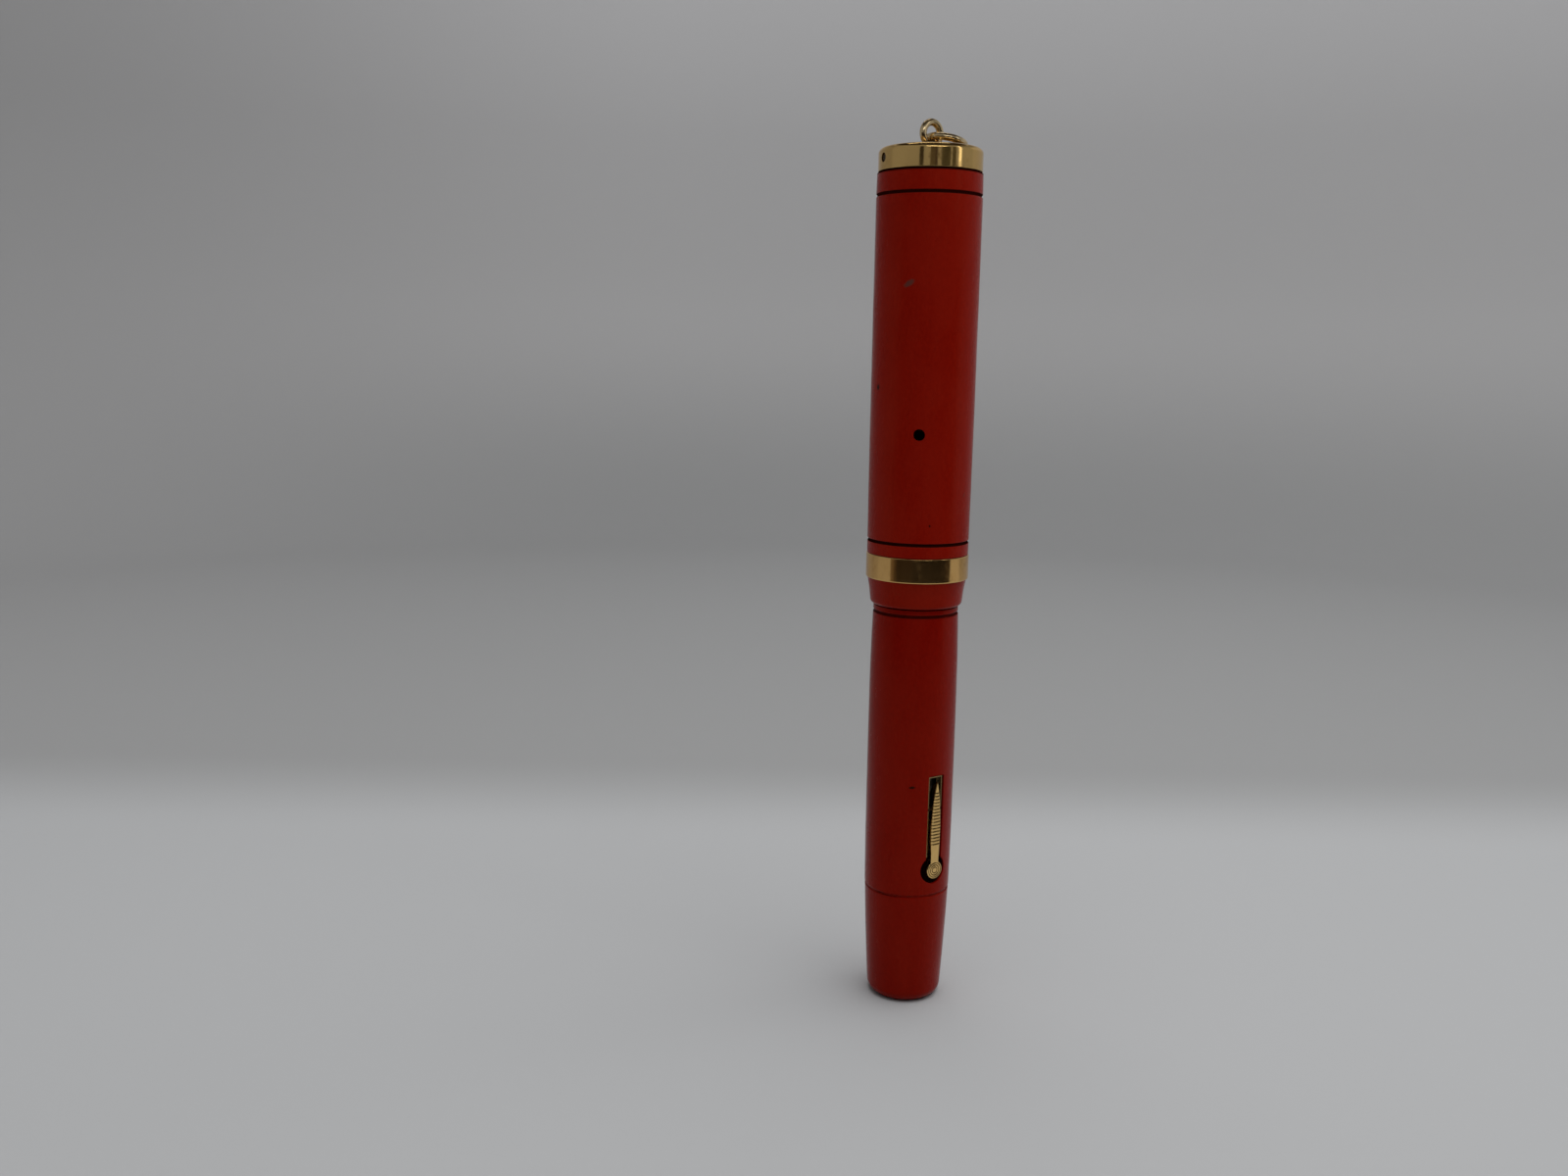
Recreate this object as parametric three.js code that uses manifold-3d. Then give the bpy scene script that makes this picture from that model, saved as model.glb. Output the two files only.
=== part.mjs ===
// Ring-top, lever-filling fountain pen, capped and standing on the end of its barrel.
//
// Millimetres, +Z up. The origin is the centre of the flat end of the barrel. Z runs up the pen's
// axis to the chain loop, the filling lever faces -Y, and the jump ring lies towards +X.
// A height is always measured from the barrel's flat end.

import * as THREE from "three";
import { mergeVertices } from "three/addons/utils/BufferGeometryUtils.js";
import Module from "manifold-3d";

const wasm = await Module();
wasm.setup();

// ---- Driving dimensions -------------------------------------------------------------------------

// Barrel: a slight swell along the body, then a taper at the end for posting the cap.
const BARREL_FULL_Z = 32;
const BARREL_FULL_R = 5.55;
const SHOULDER_Z = 51.75;
const SHOULDER_R = 5.32;
const TAPER_START_Z = 14.77;
const SWELL_START_Z = 18;
const TAPER_START_R = 5.44;
const TAPER_TOP_R = 5.41;
const TAPER_SLOPE = 0.03;
const TAPER_BULGE = 0.0014;
const END_CORNER = 1.45;
const NECK_R = 4.72;
const MOUTH_Z = 60;
const BORE_R = 4;
const BORE_FLOOR_Z = 5;

// Decorative rings turned into the rubber.
const GROOVE_WIDTH = 0.42;
const GROOVE_DEPTH = 0.14;
const BARREL_GROOVE_Z = 50.97;
const CAP_LOW_GROOVE_Z = 59.98;
const CAP_HIGH_GROOVE_Z = 101.49;

// Right-hand screw thread between cap and barrel. The crests pass each other, so that the cap can
// also be drawn off in a straight line.
const THREAD_LOW_Z = 54;
const THREAD_STARTS = 2;
const THREAD_LEAD = 2;
const THREAD_TURNS = 1.5;
const THREAD_STEPS_A_TURN = 36;
const THREAD_HEIGHT = 0.28;
const THREAD_ROOT_WIDTH = 0.8;
const THREAD_CREST_WIDTH = 0.25;
const THREAD_SINK = 0.15;
const THREAD_FADE_STEPS = 4;
const THREAD_CLEARANCE = 0.1;

// Cap.
const LIP_Z = 51.95;
const LIP_SIDE = [
  [5.54, 51.95],
  [5.71, 52.15],
  [5.79, 52.5],
  [5.94, 53.8],
  [6.19, 55.24],
];
const CAP_LOW_R = 6.31;
const CAP_MIDDLE_R = 6.38;
const CAP_MIDDLE_Z = 70;
const CAP_FULL_R = 6.4;
const CAP_FULL_Z = 80;
const CAP_STRAIGHT_TOP_Z = 100;
const CAP_TOP_R = 6.34;
const CAP_SHOULDER_Z = 104.1;
const CAP_TENON_R = 5.83;
const CAP_TENON_TOP_Z = 106.56;
const CAP_MOUTH_R = 5.2;
const CAP_MOUTH_TOP_Z = 53.5;
const CAP_BORE_R = 5.38;
const CAP_BORE_TOP_Z = 103.6;
const VENT_R = 0.7;
const VENT_Z = 73.3;
const VENT_AZIMUTH = -40.9;

// Band above the lip.
const BAND_LOW_Z = 55.27;
const BAND_HIGH_Z = 58.31;
const BAND_R = 6.41;
const BAND_EDGE = 0.15;
const BAND_SEAT_R = 6;
const BAND_GAP = 0.03;

// Crown, its pin, and the loop on top.
const CROWN_LOW_Z = 104.26;
const CROWN_TOP_Z = 107.03;
const CROWN_R = 6.27;
const CROWN_WALL = 0.4;
const CROWN_EDGE = 0.65;
const PIN_R = 0.5;
const PIN_HOLE_R = 0.54;
const PIN_HOLE_INNER_R = 4.8;
const PIN_Z = 105.65;
const PIN_AZIMUTH = -101;
const PIN_INNER_R = 4.9;
const PIN_OUTER_R = 6.13;
const EYE_R = 1.28;
const EYE_WIRE_R = 0.43;
const EYE_HEIGHT = 1.79;
const STEM_R = 0.6;
const STEM_HOLE_R = 0.7;
const STEM_END_Z = 102.6;
const EYE_SEAT_R = 0.5;
const COLLAR_LOW_Z = 107.08;
const COLLAR_SIDE = [
  [2.2, 107.08],
  [2.2, 107.2],
  [1.65, 107.36],
  [1.25, 107.63],
  [1.05, 107.93],
];
const WASHER_R = 1.8;
const WASHER_LOW_Z = 103.1;
const WASHER_THICKNESS = 0.4;

// Jump ring, resting on the crown at its far side.
const JUMP_RING_R = 2.25;
const JUMP_WIRE_R = 0.45;
const JUMP_HINGE_HEIGHT = 1.45;
const JUMP_TILT = 11.55;

// Inner cap.
const INNER_CAP_R = 5.3;
const INNER_CAP_BORE_R = 4.1;
const INNER_CAP_LOW_Z = 75.3;
const INNER_CAP_TOP_Z = 99.6;
const INNER_CAP_CEILING_Z = 98.8;
const INNER_CAP_EDGE = 0.2;

// Section.
const TENON_R = 3.9;
const TENON_LOW_Z = 52;
const NIPPLE_R = 2.6;
const NIPPLE_LOW_Z = 46.5;
const GRIP_SIDE = [
  [4.62, 60.15],
  [4.5, 63.15],
  [4.14, 68.15],
  [4, 71.15],
  [4.12, 73.1],
  [4.4, 74.3],
  [4.32, 74.75],
  [4.05, 75],
];
const GRIP_LOW_Z = 60.15;
const SECTION_FRONT_Z = 75;
const NIB_BORE_R = 3;
const NIB_BORE_LOW_Z = 63;
const INK_CHANNEL_R = 1;

// Nib and feed.
const NIB_LOW_Z = 64.5;
const NIB_SHOULDER_Z = 79;
const NIB_END_Z = 92.8;
const NIB_R = 2.9;
const NIB_THICKNESS = 0.3;
const NIB_WRAP = 95;
const NIB_END_HALF_WIDTH = 0.35;
const NIB_DROP = 1.2;
const NIB_DROP_POWER = 1.6;
const NIB_TAPER_POWER = 0.85;
const BREATHER_R = 0.6;
const BREATHER_Z = 83;
const SLIT_WIDTH = 0.12;
const FEED_R = 2.52;
const FEED_LOW_Z = 63.2;
const FEED_END_Z = 87.5;
const FEED_END_DEPTH = 0.7;
const FEED_END_HALF_WIDTH = 0.6;
const FEED_DEPTH_POWER = 1.3;
const FEED_WIDTH_POWER = 1.5;
const FEED_STATIONS = 6;
const TIP_R = 0.4;
const TIP_GAP = 0.06;

// Lever, its box, its pin and the slot that they sit in.
const SLOT_HALF_WIDTH = 1.17;
const SLOT_TOP_Z = 30.58;
const SLOT_LOW_Z = 19.4;
const SLOT_INNER_Y = -3.4;
const RECESS_R = 1.85;
const RECESS_FLOOR_Y = -4.45;
const PADDLE_R = 1.15;
const PADDLE_Z = 18.25;
const PIVOT_Y = -4.9;
const PIVOT_Z = 26.2;
const LEVER_SIDE = [
  [0.68, 20.5],
  [0.8, 22],
  [0.8, 24.2],
  [0.64, 26.2],
  [0.5, 27.7],
  [0.3, 28.8],
  [0.1, 29.7],
];
const LEVER_TIP_Z = 29.7;
const LEVER_FACE_Y = -5.7;
const LEVER_NECK_ANGLE = 52;
const LEVER_BACK = [
  [-4.75, 17.1],
  [-4.75, 20.4],
  [-4.4, 21],
  [-4.4, 28],
  [-5.1, 29.7],
];
const LEVER_BACK_Y = -4.4;
const BOX_WALL = 0.2;
const BOX_GAP = 0.08;
const BOX_FACE_Y = -5.2;
const BOX_BACK_Y = -4.2;
const BOX_LOW_Z = 19.9;
const LEVER_PIN_R = 0.28;
const LEVER_PIN_HOLE_R = 0.34;

// Pressure bar, its spring and the sac.
const BAR_FACE_Y = -3.65;
const BAR_BACK_Y = -3.2;
const BAR_HALF_WIDTH = 1.45;
const BAR_LOW_Z = 13;
const BAR_HIGH_Z = 45.5;
const LEAF_THICKNESS = 0.25;
const LEAF_HALF_WIDTH = 1.2;
const LEAF_BEND_Z = 9;
const LEAF_FAR_Y = 3.6;
const LEAF_NEAR_END_Z = 12.9;
const LEAF_FAR_END_Z = 14;
const SAC_R = 3.1;
const SAC_BORE_R = 2.68;
const SAC_LOW_Z = 9.6;
const SAC_TOP_Z = 51.2;
const SAC_CORNER = 1.6;

// How far a cutter reaches past the surface that it cuts.
const REACH = 1;

// Sides of a turned piece, by how large it is.
const SIDES_LARGE = 36;
const SIDES_MEDIUM = 28;
const SIDES_SAC = 24;
const SIDES_SMALL = 16;

// ---- Materials ----------------------------------------------------------------------------------

const RED_RUBBER = { color: 0xb3200f, roughness: 0.32, metalness: 0 };
const BLACK_RUBBER = { color: 0x141210, roughness: 0.3, metalness: 0 };
const GOLD_FILLED = { color: 0xd9a84e, roughness: 0.18, metalness: 1 };
const NIB_GOLD = { color: 0xe3b85c, roughness: 0.15, metalness: 1 };
const TIPPING = { color: 0xc8c8c4, roughness: 0.2, metalness: 1 };
const STEEL = { color: 0x8f8d88, roughness: 0.35, metalness: 1 };
const DARK_STEEL = { color: 0x2a2420, roughness: 0.5, metalness: 1 };
const SAC_RUBBER = { color: 0x1d1c1b, roughness: 0.7, metalness: 0 };

// ---- Tools for shapes ---------------------------------------------------------------------------

const point = (x, y) => new THREE.Vector2(x, y);
const pointsFrom = (pairs) => pairs.map(([x, y]) => point(x, y));
const radians = THREE.MathUtils.degToRad;

// Turns an outline of (radius, height) points about Z.
function turned(outline, sides) {
  return new THREE.LatheGeometry(outline, sides).rotateX(Math.PI / 2);
}

// A rod along Z.
function rod(radius, low, high, sides) {
  return turned([point(0, low), point(radius, low), point(radius, high), point(0, high)], sides);
}

// A washer or tube along Z.
function tube(inner, outer, low, high, sides) {
  const outline = [
    point(inner, low),
    point(outer, low),
    point(outer, high),
    point(inner, high),
    point(inner, low),
  ];
  return turned(outline, sides);
}

// An outline of (x, z) points, made thick along Y.
function plateAlongY(outline, low, high) {
  const shape = new THREE.Shape(outline);
  const geometry = new THREE.ExtrudeGeometry(shape, { depth: high - low, bevelEnabled: false });
  return geometry.rotateX(Math.PI / 2).translate(0, high, 0);
}

// A shape drawn in (y, z), made thick along X about the middle plane.
function plateAlongX(shape, halfWidth) {
  const geometry = new THREE.ExtrudeGeometry(shape, { depth: 2 * halfWidth, bevelEnabled: false });
  return geometry.rotateX(Math.PI / 2).rotateZ(Math.PI / 2).translate(-halfWidth, 0, 0);
}

// Points on a quarter round, from one angle to the other, both in degrees.
function round(centreX, centreY, radius, from, to, steps) {
  const points = [];
  for (let i = 0; i <= steps; i++) {
    const angle = radians(from + ((to - from) * i) / steps);
    points.push(point(centreX + radius * Math.cos(angle), centreY + radius * Math.sin(angle)));
  }
  return points;
}

// A closed skin over rings of points, each ring with the same number of points.
function skinned(rings) {
  const size = rings[0].length;
  const positions = rings.flat().flatMap((p) => [p.x, p.y, p.z]);
  const faces = [];
  for (let i = 0; i + 1 < rings.length; i++) {
    for (let j = 0; j < size; j++) {
      const a = i * size + j;
      const b = i * size + ((j + 1) % size);
      faces.push(a, b, b + size, a, b + size, a + size);
    }
  }
  const last = (rings.length - 1) * size;
  for (let j = 1; j + 1 < size; j++) {
    faces.push(0, j + 1, j);
    faces.push(last, last + j, last + j + 1);
  }
  const geometry = new THREE.BufferGeometry();
  geometry.setAttribute("position", new THREE.Float32BufferAttribute(positions, 3));
  geometry.setIndex(faces);
  return geometry;
}

function solid(geometry) {
  const bare = geometry.clone();
  bare.deleteAttribute("normal");
  bare.deleteAttribute("uv");
  const merged = mergeVertices(bare, 1e-5);
  return new wasm.Manifold(new wasm.Mesh({
    numProp: 3,
    vertProperties: new Float32Array(merged.attributes.position.array),
    triVerts: new Uint32Array(merged.index.array),
  }));
}

function fromSolid(manifold) {
  const mesh = manifold.getMesh();
  const geometry = new THREE.BufferGeometry();
  geometry.setAttribute("position", new THREE.BufferAttribute(mesh.vertProperties, 3));
  geometry.setIndex(new THREE.BufferAttribute(mesh.triVerts, 1));
  geometry.computeVertexNormals();
  return geometry;
}

function cut(geometry, ...tools) {
  return fromSolid(tools.reduce((left, tool) => left.subtract(solid(tool)), solid(geometry)));
}

function joined(geometry, other) {
  return fromSolid(solid(geometry).add(solid(other)));
}

function common(geometry, other) {
  return fromSolid(solid(geometry).intersect(solid(other)));
}

// A rod that points outwards from the axis, at a height and an azimuth turned from -Y towards +X.
function radialRod(radius, from, to, height, azimuth) {
  const geometry = rod(radius, from, to, SIDES_SMALL).rotateX(Math.PI / 2);
  return geometry.rotateZ(radians(azimuth)).translate(0, 0, height);
}

// A block between two corners.
function block(low, high) {
  const size = high.clone().sub(low);
  const middle = high.clone().add(low).multiplyScalar(0.5);
  return new THREE.BoxGeometry(size.x, size.y, size.z).translate(middle.x, middle.y, middle.z);
}

// ---- Shared curves ------------------------------------------------------------------------------

function barrelRadius(z) {
  if (z < TAPER_START_Z) {
    const down = TAPER_START_Z - z;
    return TAPER_TOP_R - TAPER_SLOPE * down - TAPER_BULGE * down ** 2;
  }
  if (z < BARREL_FULL_Z) {
    const down = (BARREL_FULL_Z - z) / (BARREL_FULL_Z - TAPER_START_Z);
    return BARREL_FULL_R - (BARREL_FULL_R - TAPER_START_R) * down ** 3;
  }
  const up = (z - BARREL_FULL_Z) / (SHOULDER_Z - BARREL_FULL_Z);
  return BARREL_FULL_R - (BARREL_FULL_R - SHOULDER_R) * up ** 4;
}

// Points up the barrel's side between two heights.
function barrelSide(low, high, steps) {
  const points = [];
  for (let i = 0; i <= steps; i++) {
    const z = low + ((high - low) * i) / steps;
    points.push(point(barrelRadius(z), z));
  }
  return points;
}

// Three points of a V-shaped ring groove, from below to above.
function groove(z, lowR, highR) {
  return [
    point(lowR, z - GROOVE_WIDTH / 2),
    point(Math.min(lowR, highR) - GROOVE_DEPTH, z),
    point(highR, z + GROOVE_WIDTH / 2),
  ];
}

// One start of the thread: a ridge that winds up a wall and fades out at both ends. A negative
// height makes the ridge of an inside thread.
function threadRidge(wallR, height, firstTurn) {
  const inward = Math.sign(height) * THREAD_SINK;
  const steps = THREAD_TURNS * THREAD_STEPS_A_TURN;
  const rings = [];
  for (let i = 0; i <= steps; i++) {
    const turn = i / THREAD_STEPS_A_TURN;
    const angle = 2 * Math.PI * (firstTurn + turn);
    const fade = Math.min(1, (i + 1) / THREAD_FADE_STEPS, (steps - i + 1) / THREAD_FADE_STEPS);
    const crestR = wallR + height * fade;
    const middle = THREAD_LOW_Z + THREAD_LEAD * turn;
    const spot = (r, up) => new THREE.Vector3(r * Math.cos(angle), r * Math.sin(angle), middle + up);
    const ring = [
      spot(wallR - inward, -THREAD_ROOT_WIDTH / 2),
      spot(wallR - inward, THREAD_ROOT_WIDTH / 2),
      spot(crestR, THREAD_CREST_WIDTH / 2),
      spot(crestR, -THREAD_CREST_WIDTH / 2),
    ];
    rings.push(height > 0 ? ring : ring.reverse());
  }
  return skinned(rings);
}

// A piece with its thread on a wall of the given radius.
function threaded(geometry, wallR, height) {
  let result = geometry;
  for (let start = 0; start < THREAD_STARTS; start++) {
    result = joined(result, threadRidge(wallR, height, start / THREAD_STARTS));
  }
  return result;
}

// How far the nib bends down towards the axis.
function nibDrop(z) {
  const along = Math.max(0, (z - SECTION_FRONT_Z) / (NIB_END_Z - SECTION_FRONT_Z));
  return NIB_DROP * along ** NIB_DROP_POWER;
}

// Half of the angle that the nib wraps round the feed.
function nibHalfAngle(z) {
  const end = NIB_END_HALF_WIDTH / NIB_R;
  const along = Math.max(0, (z - NIB_SHOULDER_Z) / (NIB_END_Z - NIB_SHOULDER_Z));
  return end + (radians(NIB_WRAP) - end) * (1 - along ** NIB_TAPER_POWER);
}

// ---- Pieces -------------------------------------------------------------------------------------

function barrel() {
  const endR = barrelRadius(END_CORNER);
  const belowTaper = TAPER_START_Z - GROOVE_WIDTH / 2;
  const aboveTaper = TAPER_START_Z + GROOVE_WIDTH / 2;
  const belowRing = BARREL_GROOVE_Z - GROOVE_WIDTH / 2;
  const aboveRing = BARREL_GROOVE_Z + GROOVE_WIDTH / 2;
  const outline = [
    point(0, 0),
    ...round(endR - END_CORNER, END_CORNER, END_CORNER, -90, 0, 4),
    ...barrelSide(END_CORNER * 2, belowTaper, 3),
    ...groove(TAPER_START_Z, barrelRadius(belowTaper), barrelRadius(aboveTaper)).slice(1),
    ...barrelSide(SWELL_START_Z, belowRing, 8),
    ...groove(BARREL_GROOVE_Z, barrelRadius(belowRing), barrelRadius(aboveRing)).slice(1),
    point(SHOULDER_R, SHOULDER_Z),
    point(NECK_R, SHOULDER_Z),
    point(NECK_R, MOUTH_Z),
    point(BORE_R, MOUTH_Z),
    point(BORE_R, BORE_FLOOR_Z),
    point(0, BORE_FLOOR_Z),
  ];
  const slot = block(
    new THREE.Vector3(-SLOT_HALF_WIDTH, -BARREL_FULL_R - REACH, SLOT_LOW_Z),
    new THREE.Vector3(SLOT_HALF_WIDTH, SLOT_INNER_Y, SLOT_TOP_Z),
  );
  const recess = radialRod(RECESS_R, -RECESS_FLOOR_Y, BARREL_FULL_R + REACH, PADDLE_Z, 0);
  return threaded(cut(turned(outline, SIDES_LARGE), slot, recess), NECK_R, THREAD_HEIGHT);
}

function capTube() {
  const outline = [
    point(CAP_MOUTH_R, LIP_Z),
    ...pointsFrom(LIP_SIDE),
    point(BAND_SEAT_R, BAND_LOW_Z - BAND_GAP),
    point(BAND_SEAT_R, BAND_HIGH_Z + BAND_GAP),
    point(CAP_LOW_R, BAND_HIGH_Z + BAND_GAP),
    ...groove(CAP_LOW_GROOVE_Z, CAP_LOW_R, CAP_LOW_R),
    point(CAP_MIDDLE_R, CAP_MIDDLE_Z),
    point(CAP_FULL_R, CAP_FULL_Z),
    point(CAP_FULL_R, CAP_STRAIGHT_TOP_Z),
    ...groove(CAP_HIGH_GROOVE_Z, CAP_MIDDLE_R, CAP_MIDDLE_R),
    point(CAP_TOP_R, CAP_SHOULDER_Z),
    point(CAP_TENON_R, CAP_SHOULDER_Z),
    point(CAP_TENON_R, CAP_TENON_TOP_Z),
    point(STEM_HOLE_R, CAP_TENON_TOP_Z),
    point(STEM_HOLE_R, CAP_BORE_TOP_Z),
    point(CAP_BORE_R, CAP_BORE_TOP_Z),
    point(CAP_BORE_R, CAP_MOUTH_TOP_Z),
    point(CAP_MOUTH_R, CAP_MOUTH_TOP_Z),
    point(CAP_MOUTH_R, LIP_Z),
  ];
  const vent = radialRod(VENT_R, CAP_BORE_R - REACH, CAP_FULL_R + REACH, VENT_Z, VENT_AZIMUTH);
  const pinHole = radialRod(PIN_HOLE_R, PIN_HOLE_INNER_R, CROWN_R, PIN_Z, PIN_AZIMUTH);
  const crestR = NECK_R + THREAD_HEIGHT + THREAD_CLEARANCE;
  const shell = cut(turned(outline, SIDES_LARGE), vent, pinHole);
  return threaded(shell, CAP_BORE_R, crestR - CAP_BORE_R);
}

function innerCap() {
  const outline = [
    point(0, INNER_CAP_CEILING_Z),
    point(INNER_CAP_BORE_R, INNER_CAP_CEILING_Z),
    point(INNER_CAP_BORE_R, INNER_CAP_LOW_Z),
    point(INNER_CAP_R - INNER_CAP_EDGE, INNER_CAP_LOW_Z),
    point(INNER_CAP_R, INNER_CAP_LOW_Z + INNER_CAP_EDGE),
    point(INNER_CAP_R, INNER_CAP_TOP_Z),
    point(0, INNER_CAP_TOP_Z),
  ];
  return turned(outline, SIDES_LARGE);
}

function capBand() {
  const innerR = BAND_SEAT_R + BAND_GAP;
  const outline = [
    point(innerR, BAND_LOW_Z),
    point(BAND_R - BAND_EDGE, BAND_LOW_Z),
    point(BAND_R, BAND_LOW_Z + BAND_EDGE),
    point(BAND_R, BAND_HIGH_Z - BAND_EDGE),
    point(BAND_R - BAND_EDGE, BAND_HIGH_Z),
    point(innerR, BAND_HIGH_Z),
    point(innerR, BAND_LOW_Z),
  ];
  return turned(outline, SIDES_LARGE);
}

function crownCap() {
  const innerR = CROWN_R - CROWN_WALL;
  const ceiling = CROWN_TOP_Z - CROWN_WALL;
  const outline = [
    point(innerR, CROWN_LOW_Z),
    point(CROWN_R, CROWN_LOW_Z),
    ...round(CROWN_R - CROWN_EDGE, CROWN_TOP_Z - CROWN_EDGE, CROWN_EDGE, 0, 90, 4),
    point(STEM_HOLE_R, CROWN_TOP_Z),
    point(STEM_HOLE_R, ceiling),
    point(innerR, ceiling),
    point(innerR, CROWN_LOW_Z),
  ];
  const pinHole = radialRod(PIN_HOLE_R, PIN_HOLE_INNER_R, CROWN_R + REACH, PIN_Z, PIN_AZIMUTH);
  return cut(turned(outline, SIDES_LARGE), pinHole);
}

function crownPin() {
  return radialRod(PIN_R, PIN_INNER_R, PIN_OUTER_R, PIN_Z, PIN_AZIMUTH);
}

// The loop's round eye, standing in the XZ plane.
function eye(wireR) {
  const ring = new THREE.TorusGeometry(EYE_R, wireR, 8, 24).rotateX(Math.PI / 2);
  return ring.translate(0, 0, CROWN_TOP_Z + EYE_HEIGHT);
}

function ringLoop() {
  const eyeLow = CROWN_TOP_Z + EYE_HEIGHT - EYE_R;
  return joined(eye(EYE_WIRE_R), rod(STEM_R, STEM_END_Z, eyeLow, SIDES_SMALL));
}

function loopCollar() {
  const side = pointsFrom(COLLAR_SIDE);
  const outline = [
    point(STEM_HOLE_R, COLLAR_LOW_Z),
    ...side,
    point(STEM_HOLE_R, side.at(-1).y),
    point(STEM_HOLE_R, COLLAR_LOW_Z),
  ];
  return cut(turned(outline, SIDES_MEDIUM), eye(EYE_SEAT_R));
}

function loopWasher() {
  return tube(STEM_HOLE_R, WASHER_R, WASHER_LOW_Z, WASHER_LOW_Z + WASHER_THICKNESS, SIDES_SMALL);
}

function jumpRing() {
  const ring = new THREE.TorusGeometry(JUMP_RING_R, JUMP_WIRE_R, 8, 28);
  return ring.translate(JUMP_RING_R, 0, 0);
}

function section() {
  const outline = [
    point(INK_CHANNEL_R, NIPPLE_LOW_Z),
    point(NIPPLE_R, NIPPLE_LOW_Z),
    point(NIPPLE_R, TENON_LOW_Z),
    point(TENON_R, TENON_LOW_Z),
    point(TENON_R, GRIP_LOW_Z),
    ...pointsFrom(GRIP_SIDE),
    point(NIB_BORE_R, SECTION_FRONT_Z),
    point(NIB_BORE_R, NIB_BORE_LOW_Z),
    point(INK_CHANNEL_R, NIB_BORE_LOW_Z),
    point(INK_CHANNEL_R, NIPPLE_LOW_Z),
  ];
  return turned(outline, SIDES_MEDIUM);
}

// The feed: round in the section, then thinning to a flat tongue under the nib.
function feed() {
  const rings = [feedRing(FEED_LOW_Z)];
  for (let i = 0; i <= FEED_STATIONS; i++) {
    rings.push(feedRing(SECTION_FRONT_Z + ((FEED_END_Z - SECTION_FRONT_Z) * i) / FEED_STATIONS));
  }
  return skinned(rings);
}

function feedRing(z) {
  const along = Math.max(0, (z - SECTION_FRONT_Z) / (FEED_END_Z - SECTION_FRONT_Z));
  const depth = 2 * FEED_R - (2 * FEED_R - FEED_END_DEPTH) * along ** FEED_DEPTH_POWER;
  const halfWidth = FEED_R - (FEED_R - FEED_END_HALF_WIDTH) * along ** FEED_WIDTH_POWER;
  const middle = nibDrop(z) - FEED_R + depth / 2;
  const ring = [];
  for (let i = 0; i < SIDES_MEDIUM; i++) {
    const angle = (2 * Math.PI * i) / SIDES_MEDIUM;
    ring.push(new THREE.Vector3(halfWidth * Math.sin(angle), middle - (depth / 2) * Math.cos(angle), z));
  }
  return ring;
}

function nib() {
  const rows = 14;
  const columns = 10;
  const rings = [];
  for (let i = 0; i <= rows; i++) {
    const z = NIB_LOW_Z + ((NIB_END_Z - NIB_LOW_Z) * i) / rows;
    const half = nibHalfAngle(z);
    const outer = [];
    const inner = [];
    for (let j = 0; j <= columns; j++) {
      const angle = half * ((2 * j) / columns - 1);
      const spot = (r) => new THREE.Vector3(r * Math.sin(angle), nibDrop(z) - r * Math.cos(angle), z);
      outer.push(spot(NIB_R));
      inner.push(spot(NIB_R - NIB_THICKNESS));
    }
    rings.push([...outer, ...inner.reverse()]);
  }
  const slit = block(
    new THREE.Vector3(-SLIT_WIDTH / 2, -NIB_R - REACH, BREATHER_Z),
    new THREE.Vector3(SLIT_WIDTH / 2, 0, NIB_END_Z + REACH),
  );
  return cut(skinned(rings), slit, radialRod(BREATHER_R, BREATHER_R, NIB_R + REACH, BREATHER_Z, 0));
}

function nibTip() {
  const y = nibDrop(NIB_END_Z) - NIB_R + NIB_THICKNESS / 2;
  return new THREE.SphereGeometry(TIP_R, 12, 8).translate(0, y, NIB_END_Z + TIP_R + TIP_GAP);
}

// The lever: its outline from the front, cut by its outline from the side.
function lever() {
  const rightSide = pointsFrom(LEVER_SIDE);
  const leftSide = rightSide.map((p) => point(-p.x, p.y)).reverse();
  const paddle = round(0, PADDLE_Z, PADDLE_R, 180 - LEVER_NECK_ANGLE, 360 + LEVER_NECK_ANGLE, 20);
  const front = plateAlongY([...paddle, ...rightSide, ...leftSide], LEVER_FACE_Y, LEVER_BACK_Y);
  const side = new THREE.Shape([
    point(LEVER_FACE_Y, PADDLE_Z - PADDLE_R),
    ...pointsFrom(LEVER_BACK),
    point(LEVER_FACE_Y, LEVER_TIP_Z),
  ]);
  const shape = common(front, plateAlongX(side, PADDLE_R + REACH));
  return cut(shape, pivotRod(LEVER_PIN_HOLE_R, SLOT_HALF_WIDTH));
}

// A rod across the pen on the lever's pivot.
function pivotRod(radius, halfLength) {
  const geometry = rod(radius, -halfLength, halfLength, SIDES_SMALL).rotateY(Math.PI / 2);
  return geometry.translate(0, PIVOT_Y, PIVOT_Z);
}

function leverPin() {
  return pivotRod(LEVER_PIN_R, SLOT_HALF_WIDTH - BOX_GAP);
}

function leverBox() {
  const outer = SLOT_HALF_WIDTH - BOX_GAP;
  const inner = outer - BOX_WALL;
  const top = SLOT_TOP_Z - BOX_GAP;
  const frame = block(
    new THREE.Vector3(-outer, BOX_FACE_Y, BOX_LOW_Z),
    new THREE.Vector3(outer, BOX_BACK_Y, top),
  );
  const inside = block(
    new THREE.Vector3(-inner, BOX_FACE_Y - REACH, BOX_LOW_Z - REACH),
    new THREE.Vector3(inner, BOX_BACK_Y + REACH, top - BOX_WALL),
  );
  return cut(frame, inside, pivotRod(LEVER_PIN_HOLE_R, SLOT_HALF_WIDTH));
}

function pressureBar() {
  const ends = [
    ...round(0, BAR_HIGH_Z - BAR_HALF_WIDTH, BAR_HALF_WIDTH, 0, 180, 8),
    point(-BAR_HALF_WIDTH, BAR_LOW_Z),
    point(BAR_HALF_WIDTH, BAR_LOW_Z),
  ];
  return plateAlongY(ends, BAR_FACE_Y, BAR_BACK_Y);
}

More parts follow.
